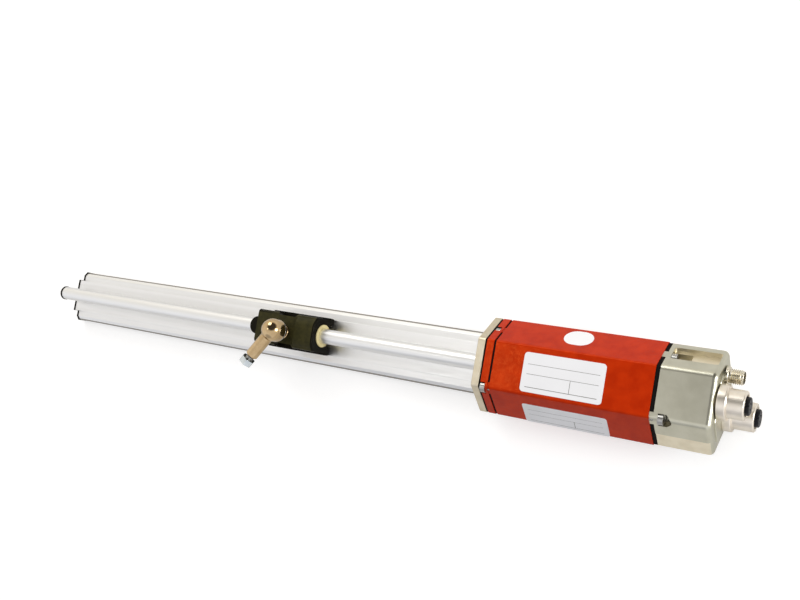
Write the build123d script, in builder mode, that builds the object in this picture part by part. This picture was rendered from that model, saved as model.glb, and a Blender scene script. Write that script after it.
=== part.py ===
from build123d import *
import os
from math import atan2, cos, degrees, hypot, radians, sin, sqrt

# Magnetostrictive position sensor with a captive sliding magnet, in millimetres.
# X runs along the rail towards the connectors, Y across it, Z up from the mounting plane.
# The origin is where the rail's base meets the head: X = 0 is the front face of the flange
# plate, Y = 0 the plane of symmetry and Z = 0 the flat underside of the rail.

os.makedirs("parts", exist_ok=True)

# Rail: one extrusion with a base, a raised platform, a neck and a round tube on top
RAIL_LENGTH = 350.0
BASE_WIDTH = 36.4
FLANGE_TOP = 8.2
EDGE_SLOPE_WIDTH = 2.8
EDGE_SLOPE_DROP = 2.2
PLATFORM_WIDTH = 22.8
PLATFORM_RISE = 4.0
NECK_WIDTH = 5.2
NECK_FILLET = 1.0
TUBE_DIAMETER = 9.3
TUBE_RISE = 14.5
TUBE_BORE = 4.2
CHANNEL_MOUTH = 5.4
CHANNEL_WIDTH = 8.8
CHANNEL_LIP = 1.8
CHANNEL_HEIGHT = 3.4
CLAMP_GROOVE_HEIGHT = 2.2
CLAMP_GROOVE_DEPTH = 1.5
CLAMP_GROOVE_Z = 2.2
PORT_DIAMETER = 3.4
PORT_Y = 8.8
PORT_Z = 7.4

TUBE_RADIUS = TUBE_DIAMETER / 2
TUBE_Z = FLANGE_TOP + TUBE_RISE
PLATFORM_TOP = FLANGE_TOP + PLATFORM_RISE
RAIL_END = -RAIL_LENGTH

# End cap on the rail
END_CAP_THICKNESS = 1.3
END_CAP_OVERHANG = 0.3
END_CAP_PLUG_LENGTH = 6.0
END_CAP_PLUG_CLEARANCE = 0.1

# Six-sided head: half sizes of its section, measured at the sleeve
HEAD_HALF_TOP = 13.2
HEAD_HALF_WIDTH = 27.3
HEAD_HALF_HEIGHT = 18.1
HEAD_FLOOR = 0.5
HEAD_CORNER_RADIUS = 2.0
HEAD_Z = HEAD_FLOOR + HEAD_HALF_HEIGHT

# Pieces of the head along X
PLATE_THICKNESS = 4.6
FRONT_GASKET_THICKNESS = 1.1
FRONT_RING_LENGTH = 4.2
MIDDLE_GASKET_THICKNESS = 1.3
SLEEVE_LENGTH = 88.0
REAR_GASKET_THICKNESS = 2.3
CAP_LENGTH = 28.1
CAP_CORNER_RADIUS = 3.8
CAP_SHOULDER_RADIUS = 2.8
CAP_RIM_STEP = 0.6
CAP_RIM_INSET = 6.0
CAP_RIM_CHAMFER = 0.4

FRONT_GASKET_X = PLATE_THICKNESS
FRONT_RING_X = FRONT_GASKET_X + FRONT_GASKET_THICKNESS
MIDDLE_GASKET_X = FRONT_RING_X + FRONT_RING_LENGTH
SLEEVE_X = MIDDLE_GASKET_X + MIDDLE_GASKET_THICKNESS
REAR_GASKET_X = SLEEVE_X + SLEEVE_LENGTH
CAP_X = REAR_GASKET_X + REAR_GASKET_THICKNESS
CAP_SHOULDER_X = CAP_X + CAP_LENGTH
CAP_FACE_X = CAP_SHOULDER_X + CAP_RIM_STEP

# Walls of the head
SLEEVE_WALL = 2.0
GASKET_INSET = 0.5
GASKET_WIDTH = 2.4
GASKET_LOOP = 1.3
CAP_WALL = 2.6
CAP_END_WALL = 3.4
PLATE_BORE = 6.4

# Head screws: two on each side, at the middle of one sloping face and in one corner,
# and the same again turned half way round the head's axis
SCREW_FACE_INSET = 3.2
SCREW_CORNER_INSET = 2.6
SCREW_CORNER_SHIFT = 0.3
SCREW_HEAD_DIAMETER = 6.0
SCREW_HEAD_HEIGHT = 2.8
SCREW_SHANK_DIAMETER = 3.0
SCREW_HOLE_CLEARANCE = 0.2
SCREW_SOCKET = 2.5
SCREW_SOCKET_DEPTH = 1.4
SCREW_BOSS_RADIUS = 3.6
SCREW_BOSS_WALL = 1.8
FRONT_SCREW_LENGTH = 14.0
REAR_SCREW_LENGTH = 18.0
CAP_SEAT_THICKNESS = 2.2
HEAD_POCKET_CLEARANCE = 1.3
HEAD_NOTCH_LENGTH = 4.2
HEAD_NOTCH_TAPER = 4.4

# Long shallow pocket in one sloping face of the cap, deeper at the screw, and the same again
# turned half way round, and a low step along the other sloping faces
POCKET_LENGTH = 23.8
POCKET_WIDTH = 10.0
POCKET_DEPTH = 2.8
POCKET_WELL_LENGTH = 9.6
POCKET_WELL_WIDTH = 7.4
POCKET_WELL_DEPTH = 5.8
POCKET_WALL = 1.0
POCKET_ALONG_FACE = 0.56
CAP_STEP_DEPTH = 0.6
CAP_STEP_ALONG_FACE = 0.52

# Flat-head screws that hold the plate to the front ring
PLATE_SCREW_HEAD = 5.6
PLATE_SCREW_HEAD_DEPTH = 1.7
PLATE_SCREW_LENGTH = 9.0
PLATE_SCREW_INSET = 4.3
PLATE_TOP_SCREW_Y = 8.0
PLATE_SCREW_DIAMETER = 3.0

# Cap screws that hold the rail to the plate, and the end cap's screws
RAIL_SCREW_DIAMETER = 4.0
RAIL_SCREW_HEAD = 6.0
RAIL_SCREW_HEAD_HEIGHT = 2.5
RAIL_SCREW_LENGTH = 14.0
END_SCREW_HEAD = 5.6
END_SCREW_HEAD_HEIGHT = 1.7
END_SCREW_LENGTH = 12.0
END_SCREW_DIAMETER = 3.0

# Round connectors: power plug and two sockets
M8_Y = 14.0
M8_Z = 20.6
M8_THREAD_DIAMETER = 8.0
M8_LENGTH = 8.5
M8_BORE = 6.2
M8_COLLAR_DIAMETER = 10.0
M8_COLLAR_LENGTH = 1.4
M8_PIN_DIAMETER = 0.9
M8_PIN_SPREAD = 2.6
M8_PIN_LENGTH = 6.0
M8_TAIL_LENGTH = CAP_END_WALL
M12_SPOTS = {"upper": (0.6, 27.9), "lower": (-4.2, 9.9)}
M12_LENGTHS = {"upper": 12.7, "lower": 14.9}
M12_SHELL_DIAMETER = 14.8
M12_BORE = 11.2
M12_BORE_DEPTH = 9.0
M12_COLLAR_DIAMETER = 18.4
M12_COLLAR_LENGTH = 4.4
M12_INSERT_DIAMETER = 9.2
M12_INSERT_PROUD = 1.8
M12_CONTACT_DIAMETER = 1.1
M12_CONTACT_PITCH = 4.0
M12_CONTACT_DEPTH = 6.0
CONNECTOR_TAIL = 4.6
M8_TAIL_DIAMETER = 7.0
M12_TAIL_DIAMETER = 10.4
LOCK_RING_WIDTH = 1.4
LOCK_RING_THICKNESS = 2.2
CONTACT_TAIL = 3.0

# Slider: moulded body that clips round the tube, liners, magnet and ball joint
SLIDER_CENTRE_X = -135.8
SLIDER_LENGTH = 46.0
SLIDER_HALF_WIDTH = 10.7
SLIDER_TOP = 9.0
SLIDER_SADDLE_TOP = 11.2
SLIDER_SADDLE_LENGTH = 14.5
SLIDER_SHOULDER_RADIUS = 2.2
SLIDER_SADDLE_RADIUS = 6.5
SLIDER_FOOT_HALF_WIDTH = 11.8
SLIDER_FOOT_HEIGHT = 3.0
SLIDER_FOOT_GAP = 1.0
SLIDER_LEG_INNER = 8.6
SLIDER_BORE_RADIUS = 7.1
SLIDER_THROAT = 5.5
SLIDER_TONGUE_RADIUS = 5.6
SLIDER_TONGUE_LENGTH = 5.6
SLIDER_TONGUE_THICKNESS = 2.8
SLIDER_SCALLOP_LENGTH = 14.0
SLIDER_SCALLOP_DEPTH = 1.9
SLIDER_SCALLOP_FLOOR = 3.0
LINER_LENGTH = 15.5
LINER_RUNNING_GAP = 0.05
LINER_SEAT_GAP = 0.05
LINER_SLOT = 6.8
LINER_PROUD = 0.6
MAGNET_INNER_RADIUS = 5.3
STOP_GAP = 2.0

# Ball joint, one standard size with an 8 mm ball and an M5 thread
BALL_DIAMETER = 8.0
STUD_X = -136.3
STUD_Y = -1.6
BALL_HEIGHT = 20.4
BALL_NECK_DIAMETER = 4.0
STUD_COLLAR_DIAMETER = 9.0
STUD_COLLAR_HEIGHT = 2.2
STUD_THREAD_DIAMETER = 3.6
STUD_THREAD_LENGTH = 2.6
SOCKET_HEAD_DIAMETER = 14.2
SOCKET_RIM_DEPTH = 4.4
SOCKET_MOUTH_DEPTH = 2.4
SOCKET_STEP_DEPTH = 0.2
SHANK_DIAMETER = 8.0
SHANK_REACH = 22.0
SHANK_HEADING = 234.0
BALL_SHELL_GAP = 0.04
CUP_WALL = 0.5
CAP_SPRING_WALL = 0.35
CUP_EDGE = 66.0
CAP_SPRING_EDGE = 46.0
THREAD_DIAMETER = 5.0
THREAD_IN_SHANK = 12.0
THREAD_OUT = 6.6
NUT_ACROSS_FLATS = 8.0
NUT_HEIGHT = 4.0
NUT_OFFSET = 2.6
CLIP_WIRE = 0.8

# Sensing element and electronics
ELEMENT_TUBE_DIAMETER = 3.6
ELEMENT_TUBE_BORE = 2.0
ELEMENT_END_GAP = 8.0
WIRE_DIAMETER = 0.8
RETURN_WIRE_DIAMETER = 0.6
RETURN_WIRE_OFFSET = 0.75
COIL_LENGTH = 6.0
COIL_DIAMETER = 7.0
COIL_BORE = 2.6
BLOCK_START = 24.0
BLOCK_LENGTH = 20.0
BLOCK_WIDTH = 14.0
BLOCK_CROWN = 5.5
BLOCK_GRIP = 10.0
DAMPER_LENGTH = 9.0
DAMPER_DIAMETER = 5.0
TRAY_END_GAP = 1.4
TRAY_WIDTH = 21.0
TRAY_FLOOR_Z = 8.6
TRAY_THICKNESS = 1.4
TRAY_WALL_HEIGHT = 7.0
BOARD_DAMPER_GAP = 2.5
BOARD_END_GAP = 6.0
BOARD_WIDTH = 17.0
BOARD_THICKNESS = 1.6
SPACER_DIAMETER = 4.0
SPACER_HEIGHT = 2.6
UPPER_SPACER_HEIGHT = 9.0
BOARD_SCREW_INSET = 3.0
BOARD_SCREW_DIAMETER = 2.0
BOARD_SCREW_HEAD = 3.6
BOARD_SCREW_HEAD_HEIGHT = 1.4


def save(part, label):
    """Name a finished piece and write it as its own file."""
    part.label = label
    export_step(part, f"parts/{label}.step")


def head_corners():
    """Corners of the head's section, in Y and Z, anticlockwise from the upper right."""
    return [
        (HEAD_HALF_TOP, HEAD_Z + HEAD_HALF_HEIGHT),
        (-HEAD_HALF_TOP, HEAD_Z + HEAD_HALF_HEIGHT),
        (-HEAD_HALF_WIDTH, HEAD_Z),
        (-HEAD_HALF_TOP, HEAD_Z - HEAD_HALF_HEIGHT),
        (HEAD_HALF_TOP, HEAD_Z - HEAD_HALF_HEIGHT),
        (HEAD_HALF_WIDTH, HEAD_Z),
    ]


def head_section(inset, corner_radius=HEAD_CORNER_RADIUS):
    """The head's rounded section, moved inwards by an inset."""
    with BuildSketch(mode=Mode.PRIVATE) as section:
        with BuildLine():
            Polyline(*head_corners(), close=True)
        make_face()
        if inset > 0:
            offset(amount=-inset, kind=Kind.INTERSECTION)
        radius = max(corner_radius - inset, HEAD_CORNER_RADIUS / 2)
        fillet(section.vertices(), radius)
    return section.sketch_local


def half_turn(spot):
    """Turn a point of the section half way round the head's axis."""
    return (-spot[0], 2 * HEAD_Z - spot[1])


def mirrored(spot):
    """Mirror a point of the section in the plane of symmetry."""
    return (-spot[0], spot[1])


def face_spot(share, inset):
    """Point behind the upper sloping face on +Y, at a share of its width from the top edge."""
    run = HEAD_HALF_WIDTH - HEAD_HALF_TOP
    width = hypot(run, HEAD_HALF_HEIGHT)
    y = HEAD_HALF_TOP + run * share - inset * HEAD_HALF_HEIGHT / width
    z = HEAD_Z + HEAD_HALF_HEIGHT * (1 - share) - inset * run / width
    return (y, z)


CORNER_SPOT = (
    SCREW_CORNER_SHIFT - HEAD_HALF_TOP,
    HEAD_Z + HEAD_HALF_HEIGHT - SCREW_CORNER_INSET,
)
FACE_SPOT = face_spot(0.5, SCREW_FACE_INSET)
HEAD_SCREW_SPOTS = [FACE_SPOT, CORNER_SPOT, half_turn(FACE_SPOT), half_turn(CORNER_SPOT)]
PLATE_FACE_SPOT = mirrored(face_spot(0.5, PLATE_SCREW_INSET))
PLATE_SCREW_SPOTS = [
    PLATE_FACE_SPOT,
    half_turn(PLATE_FACE_SPOT),
    (PLATE_TOP_SCREW_Y, HEAD_Z + HEAD_HALF_HEIGHT - PLATE_SCREW_INSET),
    (0.0, HEAD_Z - HEAD_HALF_HEIGHT + PLATE_SCREW_INSET),
]


def rail_outline(grow):
    """The outside of the rail's section, larger by a margin all round but not below."""
    half = BASE_WIDTH / 2 + grow
    top = FLANGE_TOP + grow
    with BuildSketch(mode=Mode.PRIVATE) as section:
        with BuildLine():
            Polyline(
                (-half, 0),
                (half, 0),
                (half, top - EDGE_SLOPE_DROP),
                (half - EDGE_SLOPE_WIDTH, top),
                (-half + EDGE_SLOPE_WIDTH, top),
                (-half, top - EDGE_SLOPE_DROP),
                close=True,
            )
        make_face()
        with Locations((0, (top + PLATFORM_RISE) / 2)):
            Rectangle(PLATFORM_WIDTH + 2 * grow, top + PLATFORM_RISE)
        with Locations((0, (PLATFORM_TOP + TUBE_Z) / 2)):
            Rectangle(NECK_WIDTH + 2 * grow, TUBE_Z - PLATFORM_TOP)
        with Locations((0, TUBE_Z)):
            Circle(TUBE_RADIUS + grow)
    return section.sketch_local


# Rail extrusion
with BuildPart() as rail_extrusion:
    with BuildSketch(Plane.YZ.offset(RAIL_END)) as rail_section:
        add(rail_outline(0))
        neck_feet = rail_section.vertices().filter_by_position(
            Axis.Y, PLATFORM_TOP - 0.01, PLATFORM_TOP + 0.01
        )
        neck_feet = neck_feet.filter_by_position(Axis.X, -NECK_WIDTH, NECK_WIDTH)
        fillet(neck_feet, NECK_FILLET)
        with Locations((0, TUBE_Z)):
            Circle(TUBE_BORE / 2, mode=Mode.SUBTRACT)
        with Locations((-PORT_Y, PORT_Z), (PORT_Y, PORT_Z)):
            Circle(PORT_DIAMETER / 2, mode=Mode.SUBTRACT)
        with Locations((0, CHANNEL_LIP / 2)):
            Rectangle(CHANNEL_MOUTH, CHANNEL_LIP, mode=Mode.SUBTRACT)
        with Locations((0, CHANNEL_LIP + CHANNEL_HEIGHT / 2)):
            Rectangle(CHANNEL_WIDTH, CHANNEL_HEIGHT, mode=Mode.SUBTRACT)
        groove_y = (BASE_WIDTH - CLAMP_GROOVE_DEPTH) / 2
        groove_z = CLAMP_GROOVE_Z + CLAMP_GROOVE_HEIGHT / 2
        with Locations((-groove_y, groove_z), (groove_y, groove_z)):
            Rectangle(CLAMP_GROOVE_DEPTH, CLAMP_GROOVE_HEIGHT, mode=Mode.SUBTRACT)
    extrude(amount=RAIL_LENGTH)
save(rail_extrusion.part, "rail_extrusion")

# Moulded cap over the far end of the rail, with a plug in the tube
with BuildPart() as rail_end_cap:
    with BuildSketch(Plane.YZ.offset(RAIL_END - END_CAP_THICKNESS)):
        add(rail_outline(END_CAP_OVERHANG))
        with Locations((-PORT_Y, PORT_Z), (PORT_Y, PORT_Z)):
            Circle((END_SCREW_DIAMETER + SCREW_HOLE_CLEARANCE) / 2, mode=Mode.SUBTRACT)
    extrude(amount=END_CAP_THICKNESS)
    with BuildSketch(Plane.YZ.offset(RAIL_END)):
        with Locations((0, TUBE_Z)):
            Circle(TUBE_BORE / 2 - END_CAP_PLUG_CLEARANCE)
            Circle(TUBE_BORE / 4, mode=Mode.SUBTRACT)
    extrude(amount=END_CAP_PLUG_LENGTH)
save(rail_end_cap.part, "rail_end_cap")

# Two pan-head screws through the end cap into the rail's screw ports
with BuildPart() as end_cap_screws:
    with BuildSketch(Plane.YZ.offset(RAIL_END - END_CAP_THICKNESS)):
        with Locations((-PORT_Y, PORT_Z), (PORT_Y, PORT_Z)):
            Circle(END_SCREW_DIAMETER / 2)
    extrude(amount=END_SCREW_LENGTH)
    with BuildSketch(Plane.YZ.offset(RAIL_END - END_CAP_THICKNESS)):
        with Locations((-PORT_Y, PORT_Z), (PORT_Y, PORT_Z)):
            Circle(END_SCREW_HEAD / 2)
    extrude(amount=-END_SCREW_HEAD_HEIGHT)
    chamfer(end_cap_screws.faces().sort_by(Axis.X)[:2].edges(), END_SCREW_HEAD_HEIGHT / 3)
    with BuildSketch(Plane.YZ.offset(RAIL_END - END_CAP_THICKNESS - END_SCREW_HEAD_HEIGHT)):
        with Locations((-PORT_Y, PORT_Z), (PORT_Y, PORT_Z)):
            RegularPolygon(SCREW_SOCKET / 2, 6, major_radius=False)
    extrude(amount=END_SCREW_HEAD_HEIGHT / 2, mode=Mode.SUBTRACT)
save(end_cap_screws.part, "end_cap_screws")

# Flange plate between the rail and the head
with BuildPart() as flange_plate:
    with BuildSketch(Plane.YZ):
        add(head_section(0))
        with Locations((0, TUBE_Z)):
            Circle(PLATE_BORE / 2, mode=Mode.SUBTRACT)
        with Locations((-PORT_Y, PORT_Z), (PORT_Y, PORT_Z)):
            Circle((RAIL_SCREW_DIAMETER + SCREW_HOLE_CLEARANCE) / 2, mode=Mode.SUBTRACT)
        with Locations(*PLATE_SCREW_SPOTS):
            Circle((PLATE_SCREW_DIAMETER + SCREW_HOLE_CLEARANCE) / 2, mode=Mode.SUBTRACT)
    extrude(amount=PLATE_THICKNESS)
    with BuildSketch(Plane.YZ.offset(PLATE_THICKNESS)):
        with Locations((-PORT_Y, PORT_Z), (PORT_Y, PORT_Z)):
            Circle((RAIL_SCREW_HEAD + SCREW_HOLE_CLEARANCE) / 2)
    extrude(amount=-RAIL_SCREW_HEAD_HEIGHT, mode=Mode.SUBTRACT)
    with BuildSketch(Plane.YZ):
        with Locations(*PLATE_SCREW_SPOTS):
            Circle((PLATE_SCREW_HEAD + SCREW_HOLE_CLEARANCE) / 2)
    extrude(amount=PLATE_SCREW_HEAD_DEPTH, mode=Mode.SUBTRACT)
    front_rim = flange_plate.faces().sort_by(Axis.X)[0].outer_wire().edges()
    chamfer(front_rim, 0.4)
save(flange_plate.part, "flange_plate")

# Socket-head screws from the head side into the rail's screw ports
with BuildPart() as rail_screws:
    with BuildSketch(Plane.YZ.offset(PLATE_THICKNESS - RAIL_SCREW_HEAD_HEIGHT)):
        with Locations((-PORT_Y, PORT_Z), (PORT_Y, PORT_Z)):
            Circle(RAIL_SCREW_HEAD / 2)
    extrude(amount=RAIL_SCREW_HEAD_HEIGHT)
    with BuildSketch(Plane.YZ.offset(PLATE_THICKNESS - RAIL_SCREW_HEAD_HEIGHT)):
        with Locations((-PORT_Y, PORT_Z), (PORT_Y, PORT_Z)):
            Circle(PORT_DIAMETER / 2)
    extrude(amount=-RAIL_SCREW_LENGTH)
    with BuildSketch(Plane.YZ.offset(PLATE_THICKNESS)):
        with Locations((-PORT_Y, PORT_Z), (PORT_Y, PORT_Z)):
            RegularPolygon(SCREW_SOCKET / 2, 6, major_radius=False)
    extrude(amount=-SCREW_SOCKET_DEPTH, mode=Mode.SUBTRACT)
save(rail_screws.part, "rail_screws")

# Flat-head screws from the front of the plate into the front ring
with BuildPart() as plate_screws:
    with BuildSketch(Plane.YZ):
        with Locations(*PLATE_SCREW_SPOTS):
            Circle(PLATE_SCREW_HEAD / 2)
    extrude(amount=PLATE_SCREW_HEAD_DEPTH)
    with BuildSketch(Plane.YZ):
        with Locations(*PLATE_SCREW_SPOTS):
            Circle(PLATE_SCREW_DIAMETER / 2)
    extrude(amount=PLATE_SCREW_LENGTH)
    with BuildSketch(Plane.YZ):
        with Locations(*PLATE_SCREW_SPOTS):
            RegularPolygon(SCREW_SOCKET / 2, 6, major_radius=False)
    extrude(amount=PLATE_SCREW_HEAD_DEPTH / 2, mode=Mode.SUBTRACT)
save(plate_screws.part, "plate_screws")


def gasket_section():
    """A six-sided gasket that loops inwards round each lug of its neighbour."""
    with BuildSketch(mode=Mode.PRIVATE) as section:
        add(head_section(GASKET_INSET))
        add(head_section(GASKET_INSET + GASKET_WIDTH), mode=Mode.SUBTRACT)
        with Locations(*HEAD_SCREW_SPOTS):
            Circle(SCREW_BOSS_RADIUS + GASKET_LOOP)
        add(head_section(GASKET_INSET), mode=Mode.INTERSECT)
        with Locations(*HEAD_SCREW_SPOTS):
            Circle(SCREW_BOSS_RADIUS + SCREW_HOLE_CLEARANCE / 2, mode=Mode.SUBTRACT)
    return section.sketch_local


# Gasket between the plate and the front ring
with BuildPart() as front_gasket:
    with BuildSketch(Plane.YZ.offset(FRONT_GASKET_X)):
        add(head_section(GASKET_INSET))
        add(head_section(GASKET_INSET + GASKET_WIDTH), mode=Mode.SUBTRACT)
        with Locations(*PLATE_SCREW_SPOTS):
            Circle((PLATE_SCREW_DIAMETER + SCREW_HOLE_CLEARANCE) / 2, mode=Mode.SUBTRACT)
    extrude(amount=FRONT_GASKET_THICKNESS)
save(front_gasket.part, "front_gasket")

# Narrow painted ring with open notches for the screw heads and lugs that reach the sleeve
with BuildPart() as front_ring:
    with BuildSketch(Plane.YZ.offset(FRONT_RING_X)):
        add(head_section(0))
        with BuildSketch(mode=Mode.PRIVATE) as ring_window:
            add(head_section(SLEEVE_WALL + 1))
            with Locations(*HEAD_SCREW_SPOTS, *PLATE_SCREW_SPOTS):
                Circle(SCREW_BOSS_RADIUS, mode=Mode.SUBTRACT)
        add(ring_window.sketch_local, mode=Mode.SUBTRACT)
        with Locations(*HEAD_SCREW_SPOTS, *PLATE_SCREW_SPOTS):
            Circle((SCREW_SHANK_DIAMETER + SCREW_HOLE_CLEARANCE) / 2, mode=Mode.SUBTRACT)
    extrude(amount=FRONT_RING_LENGTH)
    with BuildSketch(Plane.YZ.offset(FRONT_RING_X + FRONT_RING_LENGTH)):
        with Locations(*HEAD_SCREW_SPOTS):
            Circle(SCREW_BOSS_RADIUS)
        add(head_section(0.4), mode=Mode.INTERSECT)
        with Locations(*HEAD_SCREW_SPOTS):
            Circle((SCREW_SHANK_DIAMETER + SCREW_HOLE_CLEARANCE) / 2, mode=Mode.SUBTRACT)
    extrude(amount=MIDDLE_GASKET_THICKNESS)
    with BuildSketch(Plane.YZ.offset(FRONT_RING_X)):
        with Locations(*HEAD_SCREW_SPOTS):
            Circle((SCREW_HEAD_DIAMETER + HEAD_POCKET_CLEARANCE) / 2)
    extrude(amount=SCREW_HEAD_HEIGHT, mode=Mode.SUBTRACT)
save(front_ring.part, "front_ring")

# Gasket between the ring and the sleeve
with BuildPart() as middle_gasket:
    with BuildSketch(Plane.YZ.offset(MIDDLE_GASKET_X)):
        add(gasket_section())
    extrude(amount=MIDDLE_GASKET_THICKNESS)
save(middle_gasket.part, "middle_gasket")

# Painted sleeve: a six-sided extrusion with a screw port behind each screw
with BuildPart() as housing_sleeve:
    with BuildSketch(Plane.YZ.offset(SLEEVE_X)):
        add(head_section(0))
        with BuildSketch(mode=Mode.PRIVATE) as sleeve_window:
            add(head_section(SLEEVE_WALL))
            with Locations(*HEAD_SCREW_SPOTS):
                Circle(SCREW_BOSS_RADIUS, mode=Mode.SUBTRACT)
        add(sleeve_window.sketch_local, mode=Mode.SUBTRACT)
        with Locations(*HEAD_SCREW_SPOTS):
            Circle((SCREW_SHANK_DIAMETER + SCREW_HOLE_CLEARANCE) / 2, mode=Mode.SUBTRACT)
    extrude(amount=SLEEVE_LENGTH)
save(housing_sleeve.part, "housing_sleeve")

# Gasket between the sleeve and the connector cap
with BuildPart() as rear_gasket:
    with BuildSketch(Plane.YZ.offset(REAR_GASKET_X)):
        add(gasket_section())
    extrude(amount=REAR_GASKET_THICKNESS)
save(rear_gasket.part, "rear_gasket")


def head_screw(seat_x, length, heading):
    """Four screws whose heads sit on a face at seat_x and whose shanks run along heading."""
    with BuildPart() as screws:
        with BuildSketch(Plane.YZ.offset(seat_x)):
            with Locations(*HEAD_SCREW_SPOTS):
                Circle(SCREW_SHANK_DIAMETER / 2)
        extrude(amount=length * heading)
        with BuildSketch(Plane.YZ.offset(seat_x)):
            with Locations(*HEAD_SCREW_SPOTS):
                Circle(SCREW_HEAD_DIAMETER / 2)
        extrude(amount=-SCREW_HEAD_HEIGHT * heading)
        with BuildSketch(Plane.YZ.offset(seat_x - SCREW_HEAD_HEIGHT * heading)):
            with Locations(*HEAD_SCREW_SPOTS):
                RegularPolygon(SCREW_SOCKET / 2, 6, major_radius=False)
        extrude(amount=SCREW_SOCKET_DEPTH * heading, mode=Mode.SUBTRACT)
    return screws.part


# Screws of the front ring, with their heads in its notches
front_screws = head_screw(FRONT_RING_X + SCREW_HEAD_HEIGHT, FRONT_SCREW_LENGTH, 1)
save(front_screws, "front_screws")

# Screws of the connector cap, with their heads in its pockets
rear_screws = head_screw(CAP_X + CAP_SEAT_THICKNESS, REAR_SCREW_LENGTH, -1)
save(rear_screws, "rear_screws")

# Cast connector cap
POCKET_SPOT = face_spot(POCKET_ALONG_FACE, 0)
FACE_SLOPE_Y = (HEAD_HALF_WIDTH - HEAD_HALF_TOP) / hypot(
    HEAD_HALF_WIDTH - HEAD_HALF_TOP, HEAD_HALF_HEIGHT
)
FACE_SLOPE_Z = -sqrt(1 - FACE_SLOPE_Y**2)
POCKET_X = CAP_X + CAP_SEAT_THICKNESS
FACE_WIDTH = hypot(HEAD_HALF_WIDTH - HEAD_HALF_TOP, HEAD_HALF_HEIGHT)
CAP_STEP_WIDTH = FACE_WIDTH * (1 - CAP_STEP_ALONG_FACE)
NOTCH_TAPER_ANGLE = degrees(atan2(SCREW_HEAD_DIAMETER / 2, HEAD_NOTCH_TAPER))


def cap_window():
    """The hollow of the cap's section, clear of its screws and pockets."""
    slope = degrees(atan2(FACE_SLOPE_Z, FACE_SLOPE_Y))
    with BuildSketch(mode=Mode.PRIVATE) as section:
        add(head_section(CAP_WALL))
        with Locations(*HEAD_SCREW_SPOTS):
            Circle(SCREW_BOSS_RADIUS + SCREW_BOSS_WALL, mode=Mode.SUBTRACT)
        with Locations(
            Location(POCKET_SPOT, slope),
            Location(half_turn(POCKET_SPOT), slope),
        ):
            Rectangle(
                POCKET_WIDTH + 2 * POCKET_WALL,
                2 * (POCKET_WELL_DEPTH + POCKET_WALL),
                mode=Mode.SUBTRACT,
            )
    return section.sketch_local


def pocket_plane(spot, side_y, side_z):
    """Plane on a sloping face, X away from the flat top or bottom and Y along the head."""
    away = Vector(0, FACE_SLOPE_Y * side_y, FACE_SLOPE_Z * side_z)
    along = Vector(1, 0, 0)
    return Plane(origin=(POCKET_X, *spot), x_dir=away, z_dir=away.cross(along))


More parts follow.
